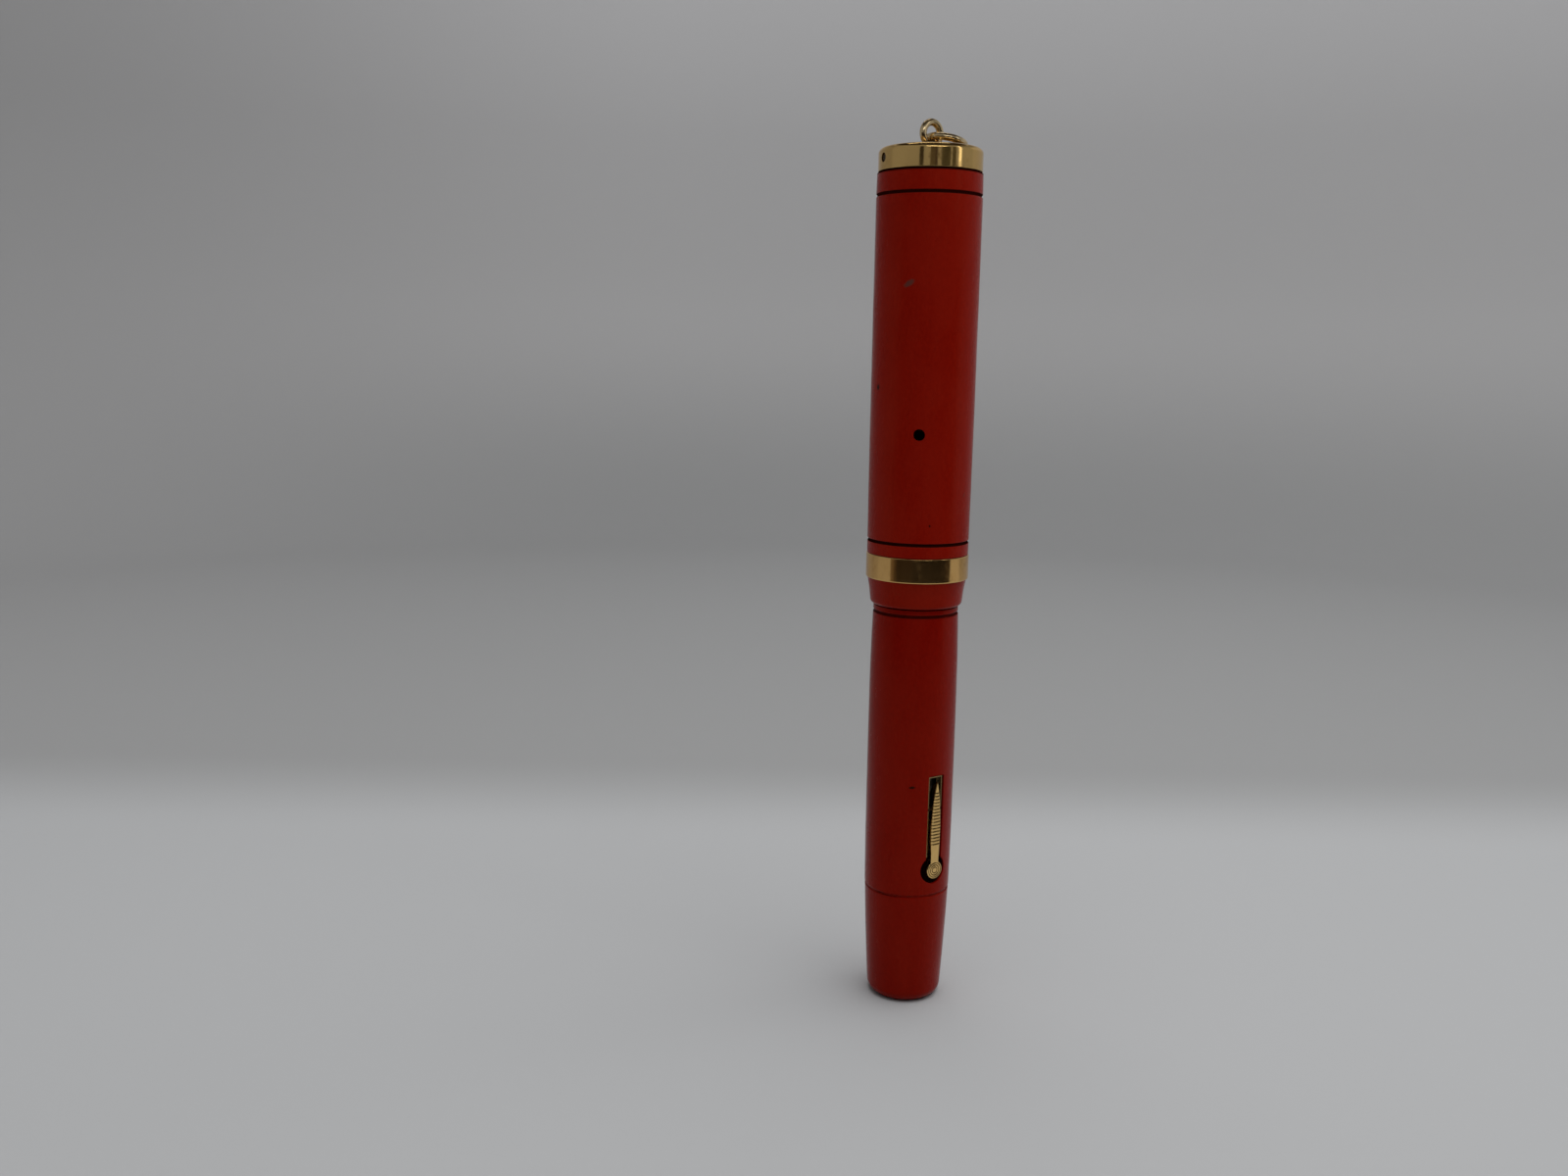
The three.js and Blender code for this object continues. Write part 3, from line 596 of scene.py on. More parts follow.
class Surface:
    """A material that is built up node by node."""

    def __init__(self, name, metallic=0.0):
        self.material = bpy.data.materials.new(name)
        self.material.use_nodes = True
        self.tree = self.material.node_tree
        self.shader = self.tree.nodes["Principled BSDF"]
        self.shader.inputs["Metallic"].default_value = metallic
        self.at = self.node("TexCoord", output="Object")
        self.x, self.y, self.z = (self.node("SeparateXYZ", {0: self.at}, axis) for axis in "XYZ")

    def node(self, kind, inputs=(), output=0, **settings):
        made = self.tree.nodes.new("ShaderNode" + kind)
        for key, value in settings.items():
            setattr(made, key, value)
        for key, value in dict(inputs).items():
            self.feed(made.inputs[key], value)
        return made.outputs[output]

    def feed(self, socket, value):
        if isinstance(value, bpy.types.NodeSocket):
            self.tree.links.new(value, socket)
        else:
            socket.default_value = value

    def put(self, **values):
        """Sets the shader's sockets."""
        for name, value in values.items():
            self.feed(self.shader.inputs[name.replace("_", " ")], value)

    def math(self, operation, a, b=0.0):
        return self.node("Math", {0: a, 1: b}, operation=operation)

    def along(self, direction):
        """How far a point lies along a direction, in metres."""
        return self.node("VectorMath", {0: self.at, 1: direction}, "Value", operation="DOT_PRODUCT")

    def fit(self, value, start, end, low=0.0, high=1.0):
        """Turns a range of a value softly into another range."""
        inputs = {"Value": value, 1: start, 2: end, 3: low, 4: high}
        return self.node("MapRange", inputs, interpolation_type="SMOOTHSTEP")

    def fade(self, value, span):
        """Rises softly from 0 to 1 over a span given in mm."""
        return self.fit(value, span[0] * MM, span[1] * MM)

    def noise(self, size, detail=3.0, stretch=(1, 1, 1), roughness=0.5):
        """Soft random values whose grains have a size in mm, longer along a stretched axis."""
        scale = tuple(1 / (size * MM * s) for s in stretch)
        where = self.node("VectorMath", {0: self.at, 1: scale}, operation="MULTIPLY")
        inputs = {"Vector": where, "Scale": 1.0, "Detail": detail, "Roughness": roughness}
        return self.node("TexNoise", inputs, "Fac")

    def mix(self, share, a, b):
        """A colour between two."""
        colours = {6: (*a, 1) if isinstance(a, tuple) else a, 7: (*b, 1) if isinstance(b, tuple) else b}
        return self.node("Mix", {0: share, **colours}, 2, data_type="RGBA")

    def ring(self, height, half_width):
        """1 near a height, falling to 0 at half a width from it, in mm."""
        off = self.math("ABSOLUTE", self.math("SUBTRACT", self.z, height * MM))
        return self.fit(off, half_width * MM * 1.15, half_width * MM * 0.85)

    def distance(self, a, b):
        """The length of a line that goes a one way and b square to it."""
        squares = (self.math("POWER", value, 2.0) for value in (a, b))
        return self.math("SQRT", self.math("ADD", *squares))

    def hollow(self, low, high, radius):
        """1 between two heights and nearer to the axis than a radius, in mm."""
        inside = self.fit(self.distance(self.x, self.y), radius * MM, (radius - 0.08) * MM)
        above = self.math("GREATER_THAN", self.z, low * MM)
        return self.blend(inside, above, self.math("LESS_THAN", self.z, high * MM))

    def mark(self, azimuth, height, length, width, lean=0):
        """1 inside a small ragged mark on the outside. Its length lies along the pen, or leans."""
        a, tilt = math.radians(azimuth), math.radians(lean)
        across = Vector((math.cos(a), math.sin(a), 0))
        up = Vector((0, 0, 1))
        middle = radial(azimuth, BARREL_FULL_R, height) * MM
        reach = []
        for direction, size in (
            (up * math.cos(tilt) + across * math.sin(tilt), length),
            (across * math.cos(tilt) - up * math.sin(tilt), width),
        ):
            off = self.math("SUBTRACT", self.along(direction), direction.dot(middle))
            reach.append(self.math("POWER", self.math("DIVIDE", off, size * MM / 2), 2.0))
        ragged = self.fit(self.noise(0.12), 0.3, 0.7, 0.6, 1.5)
        inside = self.fit(self.math("ADD", *reach), ragged, 0.2)
        front = self.math("GREATER_THAN", self.along(radial(azimuth, 1, 0)), 0.0)
        return self.math("MULTIPLY", inside, front)

    def most(self, *values):
        """The largest of several values."""
        result = values[0]
        for value in values[1:]:
            result = self.math("MAXIMUM", result, value)
        return result

    def blend(self, *values):
        """The product of several values."""
        result = values[0]
        for value in values[1:]:
            result = self.math("MULTIPLY", result, value)
        return result

    def bump(self, *layers):
        """Fine relief. Each layer is a value and its depth in mm."""
        height = 0.0
        for value, depth in layers:
            height = self.math("ADD", height, self.math("MULTIPLY", value, depth * MM))
        self.put(Normal=self.node("Bump", {"Height": height, "Strength": 1.0, "Distance": 1.0}, "Normal"))


# The black left in each turned ring, and painted shade in a line on the cap just under the crown: its
# height and its share.
RING_FILLINGS_AND_CROWN_SHADE = [
    (TAPER_START_Z, 0.42),
    (BARREL_RING_Z, 0.7),
    (CAP_LOW_RING_Z, 0.95),
    (CAP_HIGH_RING_Z, 0.9),
    # Painted shade: a dark line on the cap just under the crown.
    (CAP_SHOULDER_Z + 0.05, 0.9),
]
# The black of the ring fillings and dark marks, also used for painted shade.
BLACK_FILLING_AND_SHADE = (0.017, 0.003, 0.0017)
# Painted shade in the barrel's slot and recess and under the crown: lowest and highest point, radius.
SHADED_HOLLOWS = [(16, 31, 5.28), (104, 107, 6.2)]
MARK_GREY = (0.085, 0.045, 0.036)
RUBBER_SHEEN = 0.1
SHEEN_TINT = (1, 0.6, 0.32, 1)

# Marks on the rubber: azimuth, height, length, width and lean.
GREY_MARKS = [(-57, 91, 1.7, 0.8, 60), (20, 66, 0.9, 0.15, 35), (128, 70, 1.2, 0.2, 20)]
DARK_MARKS = [
    (-26, 62.4, 0.35, 0.3, 0),
    (-96, 78.8, 0.85, 0.7, 0),
    (-35, 29.3, 0.95, 0.42, 85),
    (-4, 30.2, 0.4, 0.3, 0),
    (150, 40, 0.6, 0.3, 10),
    (95, 84, 0.5, 0.2, 60),
]


def hard_rubber(name, colour, deep, pale, is_marked):
    """Turned and polished hard rubber, a little faded, with lathe lines, specks and marks; the marked
    rubbers also get black in their rings and painted shade in their hollows and under the crown.
    """
    s = Surface(name)
    s.put(Specular_IOR_Level=RUBBER_SHEEN, Specular_Tint=SHEEN_TINT)
    cloud = s.fit(s.noise(4.5, 4.0, (1, 1, 2.2)), 0.35, 0.65)
    grain = s.noise(0.35, 5.0, (1, 1, 1.6), 0.65)
    body = s.mix(s.fit(grain, 0.3, 0.75), deep, colour)
    body = s.mix(s.blend(cloud, 0.35), body, pale)
    specks = s.fit(s.noise(0.16, 1.0), 0.73, 0.78)
    body = s.mix(s.blend(specks, 0.6), body, tuple(c * 0.25 for c in deep))
    lines = s.noise(0.09, 3.0, (60, 60, 1), 0.6)
    wear = s.noise(1.6, 5.0, (1, 1, 3), 0.7)
    scuffs = s.fit(s.noise(0.05, 2.0, (1, 1, 40)), 0.66, 0.8)
    rough = s.math("ADD", s.fit(wear, 0.3, 0.7, 0.17, 0.3), s.blend(scuffs, 0.12))
    if is_marked:
        worn = s.noise(2.5, 4.0, (1, 1, 0.5), 0.65)
        fillings_and_shade = []
        for z, left in RING_FILLINGS_AND_CROWN_SHADE:
            kept = s.fit(worn, 0.9 - left, 1.1 - left, 0.0, 0.3 + 0.7 * left)
            fillings_and_shade.append(s.blend(s.ring(z, RING_WIDTH / 2), kept))
        # The rings' black filling together with painted shade in the slot, the recess and under the crown,
        # which also lose their gloss.
        filling_and_shade = s.most(*fillings_and_shade, *(s.hollow(*h) for h in SHADED_HOLLOWS))
        body = s.mix(filling_and_shade, body, BLACK_FILLING_AND_SHADE)
        rough = s.math("ADD", rough, s.blend(filling_and_shade, 0.4))
        s.put(Specular_IOR_Level=s.fit(filling_and_shade, 0.0, 1.0, RUBBER_SHEEN, 0.0))
        grey_marks = s.most(*(s.mark(*m) for m in GREY_MARKS))
        dark_marks = s.most(*(s.mark(*m) for m in DARK_MARKS))
        body = s.mix(s.blend(grey_marks, 0.75), body, MARK_GREY)
        body = s.mix(s.blend(dark_marks, 0.95), body, BLACK_FILLING_AND_SHADE)
        rough = s.math("ADD", rough, s.blend(grey_marks, 0.3))
    s.put(Base_Color=body, Roughness=rough)
    s.bump((lines, 0.0012), (grain, 0.0016), (wear, 0.004), (scuffs, -0.001))
    return s.material


def metal(name, colour, stain, roughness, pits=0.0, lines=(40, 40, 1), is_engraved=False):
    """Polished metal with fine scratches, soft tarnish, a few pits and dirt in the engraving."""
    s = Surface(name, 1.0)
    tarnish = s.fit(s.noise(2.2, 5.0, (1, 1, 1), 0.65), 0.5, 0.72)
    scratches = s.noise(0.05, 3.0, lines, 0.7)
    dings = s.noise(0.9, 3.0)
    shine = s.mix(s.blend(tarnish, 0.45), colour, stain)
    if pits:
        hollow = s.fit(s.noise(0.2, 2.0), 0.7, 0.75)
        worn = s.fit(s.noise(3.0, 2.0), 0.5, 0.62)
        hollow = s.blend(hollow, worn)
        shine = s.mix(s.blend(hollow, pits), shine, tuple(c * 0.08 for c in stain))
    rough = s.math("ADD", s.fit(tarnish, 0.0, 1.0, roughness, roughness + 0.1), s.blend(scratches, 0.08))
    if is_engraved:
        dirt = s.blend(engraving(s), s.fit(s.noise(0.45, 4.0, (1.6, 1, 0.6), 0.65), 0.35, 0.55, 0.5, 1.0))
        shine = s.mix(dirt, shine, tuple(c * 0.12 for c in stain))
        rough = s.math("ADD", rough, s.blend(dirt, 0.3))
    s.put(Base_Color=shine, Roughness=rough)
    s.bump((scratches, 0.0005), (dings, 0.005))
    return s.material


def engraving(s):
    """1 in the cut lines of the lever's face: the ribs across its stem and the rings on its paddle."""
    phase = s.math("MULTIPLY", s.math("SUBTRACT", s.z, RIB_LOW_Z * MM), TURN / (RIB_PITCH * MM))
    ribs = s.fit(s.math("COSINE", phase), -0.3, -0.95)
    on_stem = s.blend(
        s.math("GREATER_THAN", s.z, RIB_LOW_Z * MM),
        s.math("LESS_THAN", s.z, RIB_HIGH_Z * MM),
    )
    up = s.math("SUBTRACT", s.z, PADDLE_Z * MM)
    off = s.distance(s.x, up)
    rings = []
    for ring_r in PADDLE_RINGS:
        from_ring = s.math("ABSOLUTE", s.math("SUBTRACT", off, ring_r * MM))
        rings.append(s.fit(from_ring, ENGRAVED_WIDTH / 2 * MM, ENGRAVED_WIDTH / 4 * MM))
    in_front = s.math("LESS_THAN", s.y, (LEVER_FACE_Y + LEVER_EDGE) * MM)
    return s.blend(s.most(s.blend(ribs, on_stem), *rings), in_front)


def sac_rubber():
    """Soft black rubber, dull and dusted."""
    s = Surface("sac_rubber")
    dust = s.fit(s.noise(1.5, 6.0, (1, 1, 1), 0.7), 0.45, 0.75)
    s.put(Base_Color=s.mix(dust, (0.012, 0.011, 0.011), (0.04, 0.037, 0.034)))
    s.put(Roughness=s.fit(dust, 0.0, 1.0, 0.55, 0.75))
    s.bump((s.noise(0.25, 4.0), 0.008), (s.noise(3.0), 0.03))
    return s.material


cap_red = hard_rubber(
    "cap_red",
    colour=(0.315, 0.0085, 0.0021),
    deep=(0.26, 0.006, 0.0016),
    pale=(0.33, 0.015, 0.0065),
    is_marked=True,
)
# The barrel's red is a darker copy of the cap's red: painted shade that makes the barrel darker than the
# cap.
barrel_red = hard_rubber(
    "barrel_red",
    colour=(0.27, 0.005, 0.0011),
    deep=(0.223, 0.0036, 0.0009),
    pale=(0.287, 0.0105, 0.0043),
    is_marked=True,
)
black_rubber = hard_rubber(
    "black_rubber",
    colour=(0.012, 0.01, 0.009),
    deep=(0.007, 0.006, 0.006),
    pale=(0.03, 0.022, 0.016),
    is_marked=False,
)
soft_rubber = sac_rubber()
gold = metal("gold_filled", (0.78, 0.51, 0.185), (0.52, 0.28, 0.08), 0.06)
loop_gold = metal("loop_gold", (0.78, 0.6, 0.34), (0.45, 0.3, 0.14), 0.13)
lever_gold = metal("lever_gold", (0.83, 0.54, 0.2), (0.5, 0.27, 0.08), 0.16, is_engraved=True)
band_gold = metal("band_gold", (0.79, 0.475, 0.17), (0.48, 0.25, 0.07), 0.085, pits=0.85)
# The lever box's gold is a darkened copy of the gold: painted shade for the slot that it sits in.
shaded_box_gold = metal("shaded_box_gold", (0.26, 0.18, 0.08), (0.05, 0.03, 0.014), 0.22, pits=0.8)
nib_gold = metal("nib_gold", (0.88, 0.64, 0.3), (0.62, 0.4, 0.18), 0.14, lines=(1, 1, 30))
tipping = metal("tipping", (0.7, 0.7, 0.68), (0.45, 0.44, 0.42), 0.18)
steel = metal("steel", (0.5, 0.48, 0.45), (0.2, 0.12, 0.07), 0.3, pits=0.6, lines=(1, 1, 30))
dark_pin = metal("dark_pin", (0.07, 0.05, 0.035), (0.03, 0.018, 0.01), 0.4, pits=0.6)

# ---- Barrel, lever and filling parts ----


def barrel():
    end_r = barrel_radius(END_CORNER)
    half = RING_WIDTH / 2
    outline = [
        (0, 0),
        (end_r - END_CORNER - 0.4, 0),
        *arc((end_r - END_CORNER, END_CORNER), END_CORNER, -90, 0, 14),
        *side(barrel_radius, END_CORNER * 1.5, TAPER_START_Z - half, 9),
        *ring_groove(TAPER_START_Z, barrel_radius),
        *side(barrel_radius, TAPER_START_Z + half, BARREL_RING_Z - half, 26),
        *ring_groove(BARREL_RING_Z, barrel_radius),
        (barrel_radius(BARREL_RING_Z + half), BARREL_RING_Z + half),
        (SHOULDER_R, SHOULDER_Z),
        (NECK_R, SHOULDER_Z),
        *thread_rows(NECK_R),
        (NECK_R, MOUTH_Z),
        (BORE_R, MOUTH_Z),
        (BORE_R, BORE_FLOOR_Z),
        (0, BORE_FLOOR_Z),
    ]
    piece = turned("barrel_body", eased(outline, 0.07), relief=neck_relief)
    recess = pocket(arc((0, PADDLE_Z), RECESS_R, 0, 360, 48)[:-1], RECESS_FLOOR_Y)
    corners = rectangle(-SLOT_HALF_WIDTH, SLOT_HALF_WIDTH, SLOT_LOW_Z, SLOT_TOP_Z)
    slot = pocket(eased(corners, SLOT_CORNER, closed=True), -BORE_R / 2)
    return cut(piece, recess, slot)


def lever_half_width(z):
    paddle = math.sqrt(max(0, PADDLE_R ** 2 - (z - PADDLE_Z) ** 2))
    return max(paddle, stem_half_width(z) if z > PADDLE_Z else 0)


def stem_half_width(z):
    return STEM_NARROWING * np.interp(z, [s[1] for s in LEVER_SIDE], [s[0] for s in LEVER_SIDE])


def lever_relief(x, z):
    """How far the lever's face is cut back: its rounded edge, its ribs and the rings on the paddle."""
    off_paddle = math.hypot(x, z - PADDLE_Z)
    from_edge = PADDLE_R - off_paddle
    if z > PADDLE_Z:
        from_edge = max(from_edge, min(stem_half_width(z) - abs(x), LEVER_TIP_Z - z))
    near = 1 - min(1, max(0, from_edge) / LEVER_EDGE)
    relief = LEVER_EDGE * (1 - math.sqrt(1 - near ** 2)) * 0.8
    inside = min(1, max(0, (from_edge - LEVER_EDGE) / 0.05))
    if RIB_LOW_Z < z < RIB_HIGH_Z:
        relief += inside * RIB_DEPTH * (0.5 - 0.5 * math.cos(TURN * (z - RIB_LOW_Z) / RIB_PITCH)) ** 2
    for ring_r in PADDLE_RINGS:
        relief += inside * RIB_DEPTH * max(0, 1 - ((off_paddle - ring_r) / 0.09) ** 2)
    return relief


def lever():
    heights_up = [PADDLE_Z - PADDLE_R * math.cos(t) for t in steps(0.12, TURN / 4, 24)[:-1]]
    rings = []
    for z in [*heights_up, *steps(PADDLE_Z, LEVER_TIP_Z, 230)]:
        w = lever_half_width(z)
        back = np.interp(z, [b[1] for b in LEVER_BACK], [b[0] for b in LEVER_BACK])
        across = [w * math.sin(t) for t in steps(-TURN / 4, TURN / 4, 40)]
        ring = [(x, LEVER_FACE_Y + lever_relief(x, z), z) for x in across]
        edge = min(0.06, w / 3)
        ring += [(w, back - edge, z), (w - edge, back, z), (edge - w, back, z), (-w, back - edge, z)]
        rings.append(ring)
    return cut(skinned("lever_arm", rings), pivot_rod("cutter", LEVER_PIN_HOLE_R, SLOT_HALF_WIDTH))


def lever_box():
    inner = BOX_HALF_WIDTH - BOX_WALL
    outline = [
        (-BOX_HALF_WIDTH, BOX_LOW_Z),
        (-inner, BOX_LOW_Z),
        (-inner, BOX_TOP_Z - BOX_WALL),
        (inner, BOX_TOP_Z - BOX_WALL),
        (inner, BOX_LOW_Z),
        (BOX_HALF_WIDTH, BOX_LOW_Z),
        (BOX_HALF_WIDTH, BOX_TOP_Z),
        (-BOX_HALF_WIDTH, BOX_TOP_Z),
    ]
    outline = eased(outline, 0.07, closed=True)
    walls = [[(x, y, z) for x, z in outline] for y in (BOX_FACE_Y, BOX_BACK_Y)]
    piece = soften(skinned("lever_box_frame", walls), 0.04)
    return cut(piece, pivot_rod("cutter", LEVER_PIN_HOLE_R, SLOT_HALF_WIDTH))


def pressure_bar():
    """A thin strip with its long edges turned back, round at its top end."""
    rings = []
    top = BAR_HIGH_Z - BAR_HALF_WIDTH
    rounding = [top + BAR_HALF_WIDTH * math.sin(t) for t in steps(0, TURN / 4 - 0.1, 16)]
    for z in [*steps(BAR_LOW_Z, top, 60)[:-1], *rounding]:
        w = math.sqrt(BAR_HALF_WIDTH ** 2 - max(0, z - top) ** 2)
        turned_back = BAR_BACK_Y - BAR_SHEET - BAR_FACE_Y
        face = [(x, BAR_FACE_Y + turned_back * (x / BAR_HALF_WIDTH) ** 4, z) for x in steps(-w, w, 24)]
        back = [(x, y + BAR_SHEET, z) for x, y, z in reversed(face)]
        rings.append(face + back)
    return soften(skinned("pressure_bar_strip", rings), 0.03, 2)


def bar_spring():
    """The J-shaped leaf: from the bar down, round the bottom of the bore and up the far wall."""
    near_y = (BAR_FACE_Y + BAR_BACK_Y) / 2
    middle, bend = (LEAF_FAR_Y + near_y) / 2, (LEAF_FAR_Y - near_y) / 2
    half = LEAF_THICKNESS / 2
    line = [(near_y, z) for z in steps(LEAF_NEAR_END_Z, LEAF_BEND_Z, 6)[:-1]]
    line += arc((middle, LEAF_BEND_Z), bend, 180, 360, 48)
    line += [(LEAF_FAR_Y, z) for z in steps(LEAF_BEND_Z, LEAF_END_Z, 6)[1:]]
    rings = []
    for i, (y, z) in enumerate(line):
        ahead, behind = line[min(i + 1, len(line) - 1)], line[max(i - 1, 0)]
        along = Vector((ahead[0] - behind[0], ahead[1] - behind[1])).normalized()
        ring = []
        for x, out in ((-1, -1), (1, -1), (1, 1), (-1, 1)):
            ring.append((x * LEAF_HALF_WIDTH, y + out * half * along.y, z - out * half * along.x))
        rings.append(ring)
    return soften(skinned("bar_spring_leaf", rings), 0.04, 2)


def ink_sac():
    corner_z = SAC_LOW_Z + SAC_CORNER
    outline = [
        (0, SAC_LOW_Z),
        *arc((SAC_R - SAC_CORNER, corner_z), SAC_CORNER, -90, 0, 12),
        *[(SAC_R, z) for z in steps(corner_z, SAC_SPLIT_Z, 40)[1:]],
        (SAC_R - SAC_WALL, SAC_SPLIT_Z),
        *[(SAC_R - SAC_WALL, z) for z in steps(SAC_SPLIT_Z, corner_z, 40)[1:]],
        *arc((SAC_R - SAC_CORNER, corner_z), SAC_CORNER - SAC_WALL, 0, -90, 12)[1:],
        (0, SAC_LOW_Z + SAC_WALL),
    ]
    return turned("ink_sac_body", outline, count=MEDIUM)


def sac_neck():
    """The end of the sac that is stretched over the section's nipple and doesn't flatten."""
    outline = rectangle(SAC_R - SAC_WALL, SAC_R, SAC_SPLIT_Z + GAP, SAC_TOP_Z)
    return turned("ink_sac_neck", eased(outline, 0.12, closed=True), closed=True, count=MEDIUM)


# ---- Section, feed and nib ----


def section():
    outline = [
        (INK_CHANNEL_R, NIPPLE_LOW_Z),
        (NIPPLE_R, NIPPLE_LOW_Z),
        (NIPPLE_R, TENON_LOW_Z),
        (TENON_R, TENON_LOW_Z),
        (TENON_R, GRIP_SIDE[0][1]),
        *smooth(GRIP_SIDE),
        *arc((SECTION_EDGE_R, SECTION_FRONT_Z - 0.36), 0.36, 10, 90, 8),
        (NIB_BORE_R, SECTION_FRONT_Z),
        (NIB_BORE_R, NIB_BORE_LOW_Z),
        (INK_CHANNEL_R, NIB_BORE_LOW_Z),
    ]
    return turned("section_grip", eased(outline, 0.08, closed=True), closed=True, count=MEDIUM)


def feed():
    """The feed: round in the section, then combed beneath and thinning to a tongue under the nib."""
    count = 64
    rings = []
    for z in [*steps(FEED_LOW_Z, SECTION_FRONT_Z, 20)[:-1], *steps(SECTION_FRONT_Z, FEED_END_Z, 160)]:
        along = max(0, (z - SECTION_FRONT_Z) / (FEED_END_Z - SECTION_FRONT_Z))
        depth = 2 * FEED_R - (2 * FEED_R - FEED_END_DEPTH) * along ** FEED_DEPTH_POWER
        w = FEED_R - (FEED_R - FEED_END_HALF_WIDTH) * along ** FEED_WIDTH_POWER
        middle = nib_drop(z) - FEED_R + depth / 2
        is_tooth_gap = COMB_LOW_Z < z < COMB_HIGH_Z and (z - COMB_LOW_Z) % COMB_PITCH < COMB_PITCH * 0.4
        ring = []
        for t in steps(0, TURN, count)[:-1]:
            under = max(0, -math.cos(t)) ** 0.3
            r = 1 - (COMB_DEPTH / (depth / 2) * under if is_tooth_gap else 0)
            ring.append((w * r * math.sin(t), middle - depth / 2 * r * math.cos(t), z))
        rings.append(ring)
    return skinned("feed_comb", rings)


def nib_spot(radius, angle, z):
    """A point of the nib, which drops towards its end."""
    return (radius * math.sin(angle), nib_drop(z) - radius * math.cos(angle), z)


def nib():
    inner_r, middle_r = NIB_R - NIB_THICKNESS, NIB_R - NIB_THICKNESS / 2
    rounding = NIB_THICKNESS * 0.3 / NIB_R
    rings = []
    for z in steps(NIB_LOW_Z, NIB_END_Z, 90):
        half = nib_half_angle(z)
        outer = [nib_spot(NIB_R, a, z) for a in steps(rounding - half, half - rounding, 40)]
        inner = [nib_spot(inner_r, a, z) for a in steps(half - rounding, rounding - half, 40)]
        rings.append([*outer, nib_spot(middle_r, half, z), *inner, nib_spot(middle_r, -half, z)])
    corners = rectangle(-SLIT_WIDTH / 2, SLIT_WIDTH / 2, BREATHER_Z, NIB_END_Z + REACH)
    slit = skinned("cutter", [[(x, y, z) for x, z in corners] for y in (-NIB_R - REACH, 0)])
    breather = radial_rod(BREATHER_R, 0, BREATHER_R, NIB_R + REACH, BREATHER_Z)
    return cut(skinned("nib_blade", rings), slit, breather)


def nib_tip():
    """The hard writing tip, ground to a soft drop and split by the slit."""
    y = nib_drop(NIB_END_Z) - NIB_R + NIB_THICKNESS / 2
    piece = turned("nib_point", arc((0, 0), TIP_R, -90, 90, 20), count=SMALL)
    piece.data.transform(Matrix.Translation(Vector((0, y, TIP_TOP_Z - TIP_R)) * MM))
    corners = rectangle(-SLIT_WIDTH / 3, SLIT_WIDTH / 3, NIB_END_Z - REACH, TIP_TOP_Z - 0.08)
    return cut(piece, skinned("cutter", [[(x, y + d, z) for x, z in corners] for d in (-REACH, REACH)]))


# ---- Cap and its trim ----


def cap_tube():
    half = RING_WIDTH / 2
    outline = [
        (CAP_MOUTH_R, LIP_Z),
        *smooth(LIP_SIDE, 5),
        (BAND_SEAT_R, BAND_LOW_Z - GAP),
        (BAND_SEAT_R, BAND_HIGH_Z + GAP),
        (CAP_LOW_R, BAND_HIGH_Z + GAP),
        (cap_radius(CAP_LOW_RING_Z - half), CAP_LOW_RING_Z - half),
        *ring_groove(CAP_LOW_RING_Z, cap_radius),
        *side(cap_radius, CAP_LOW_RING_Z + half, CAP_HIGH_RING_Z - half, 30),
        *ring_groove(CAP_HIGH_RING_Z, cap_radius),
        *side(cap_radius, CAP_HIGH_RING_Z + half, CAP_SHOULDER_Z, 6),
        (CAP_TENON_R, CAP_SHOULDER_Z),
        (CAP_TENON_R, CAP_TENON_TOP_Z),
        (STEM_HOLE_R, CAP_TENON_TOP_Z),
        (STEM_HOLE_R, CAP_BORE_TOP_Z),
        (CAP_BORE_R, CAP_BORE_TOP_Z),
        *reversed(thread_rows(CAP_BORE_R)),
        (CAP_MOUTH_R, CAP_MOUTH_TOP_Z),
    ]
    piece = turned("cap_body", eased(outline, 0.06, closed=True), closed=True, relief=bore_relief)
    vent = radial_rod(VENT_R, VENT_AZIMUTH, CAP_BORE_R - REACH, CAP_FULL_R + REACH, VENT_Z)
    hole = radial_rod(PIN_HOLE_R, PIN_AZIMUTH, PIN_INNER_R - 0.1, CROWN_R, PIN_Z)
    return cut(piece, vent, hole)


def inner_cap():
    outline = [
        (0, INNER_CAP_CEILING_Z),
        (INNER_CAP_BORE_R, INNER_CAP_CEILING_Z),
        (INNER_CAP_BORE_R, INNER_CAP_LOW_Z),
        (INNER_CAP_R, INNER_CAP_LOW_Z),
        (INNER_CAP_R, INNER_CAP_TOP_Z),
        (0, INNER_CAP_TOP_Z),
    ]
    return turned("inner_cap_cup", eased(outline, 0.2), count=MEDIUM)


def cap_band():
    outline = rectangle(BAND_SEAT_R + GAP, BAND_R, BAND_LOW_Z, BAND_HIGH_Z)
    return turned("cap_band_ring", eased(outline, BAND_EDGE, closed=True, count=6), closed=True)


def crown_cap():
    inner_r, ceiling = CROWN_R - CROWN_WALL, CROWN_TOP_Z - CROWN_WALL
    outline = [
        (inner_r, CROWN_LOW_Z),
        (CROWN_R, CROWN_LOW_Z),
        *arc((CROWN_R - CROWN_EDGE, CROWN_TOP_Z - CROWN_EDGE), CROWN_EDGE, 0, 90, 16),
        (STEM_HOLE_R, CROWN_TOP_Z),
        (STEM_HOLE_R, ceiling),
        (inner_r, ceiling),
    ]
    piece = turned("crown_shell", eased(outline, 0.07, closed=True), closed=True)
    hole = radial_rod(PIN_HOLE_R, PIN_AZIMUTH, PIN_INNER_R, CROWN_R + REACH, PIN_Z)
    return cut(piece, hole)


def crown_pin():
    return radial_rod(PIN_R, PIN_AZIMUTH, PIN_INNER_R, PIN_OUTER_R, PIN_Z, "crown_pin_rod", 0.12)


def eye(name, wire_r):
    """The loop's round eye, standing in the XZ plane."""
    piece = torus(name, EYE_R, wire_r, count=72, sides=24)
    piece.data.transform(Matrix.Translation((0, 0, EYE_Z * MM)) @ Matrix.Rotation(TURN / 4, 4, "X"))
    return piece


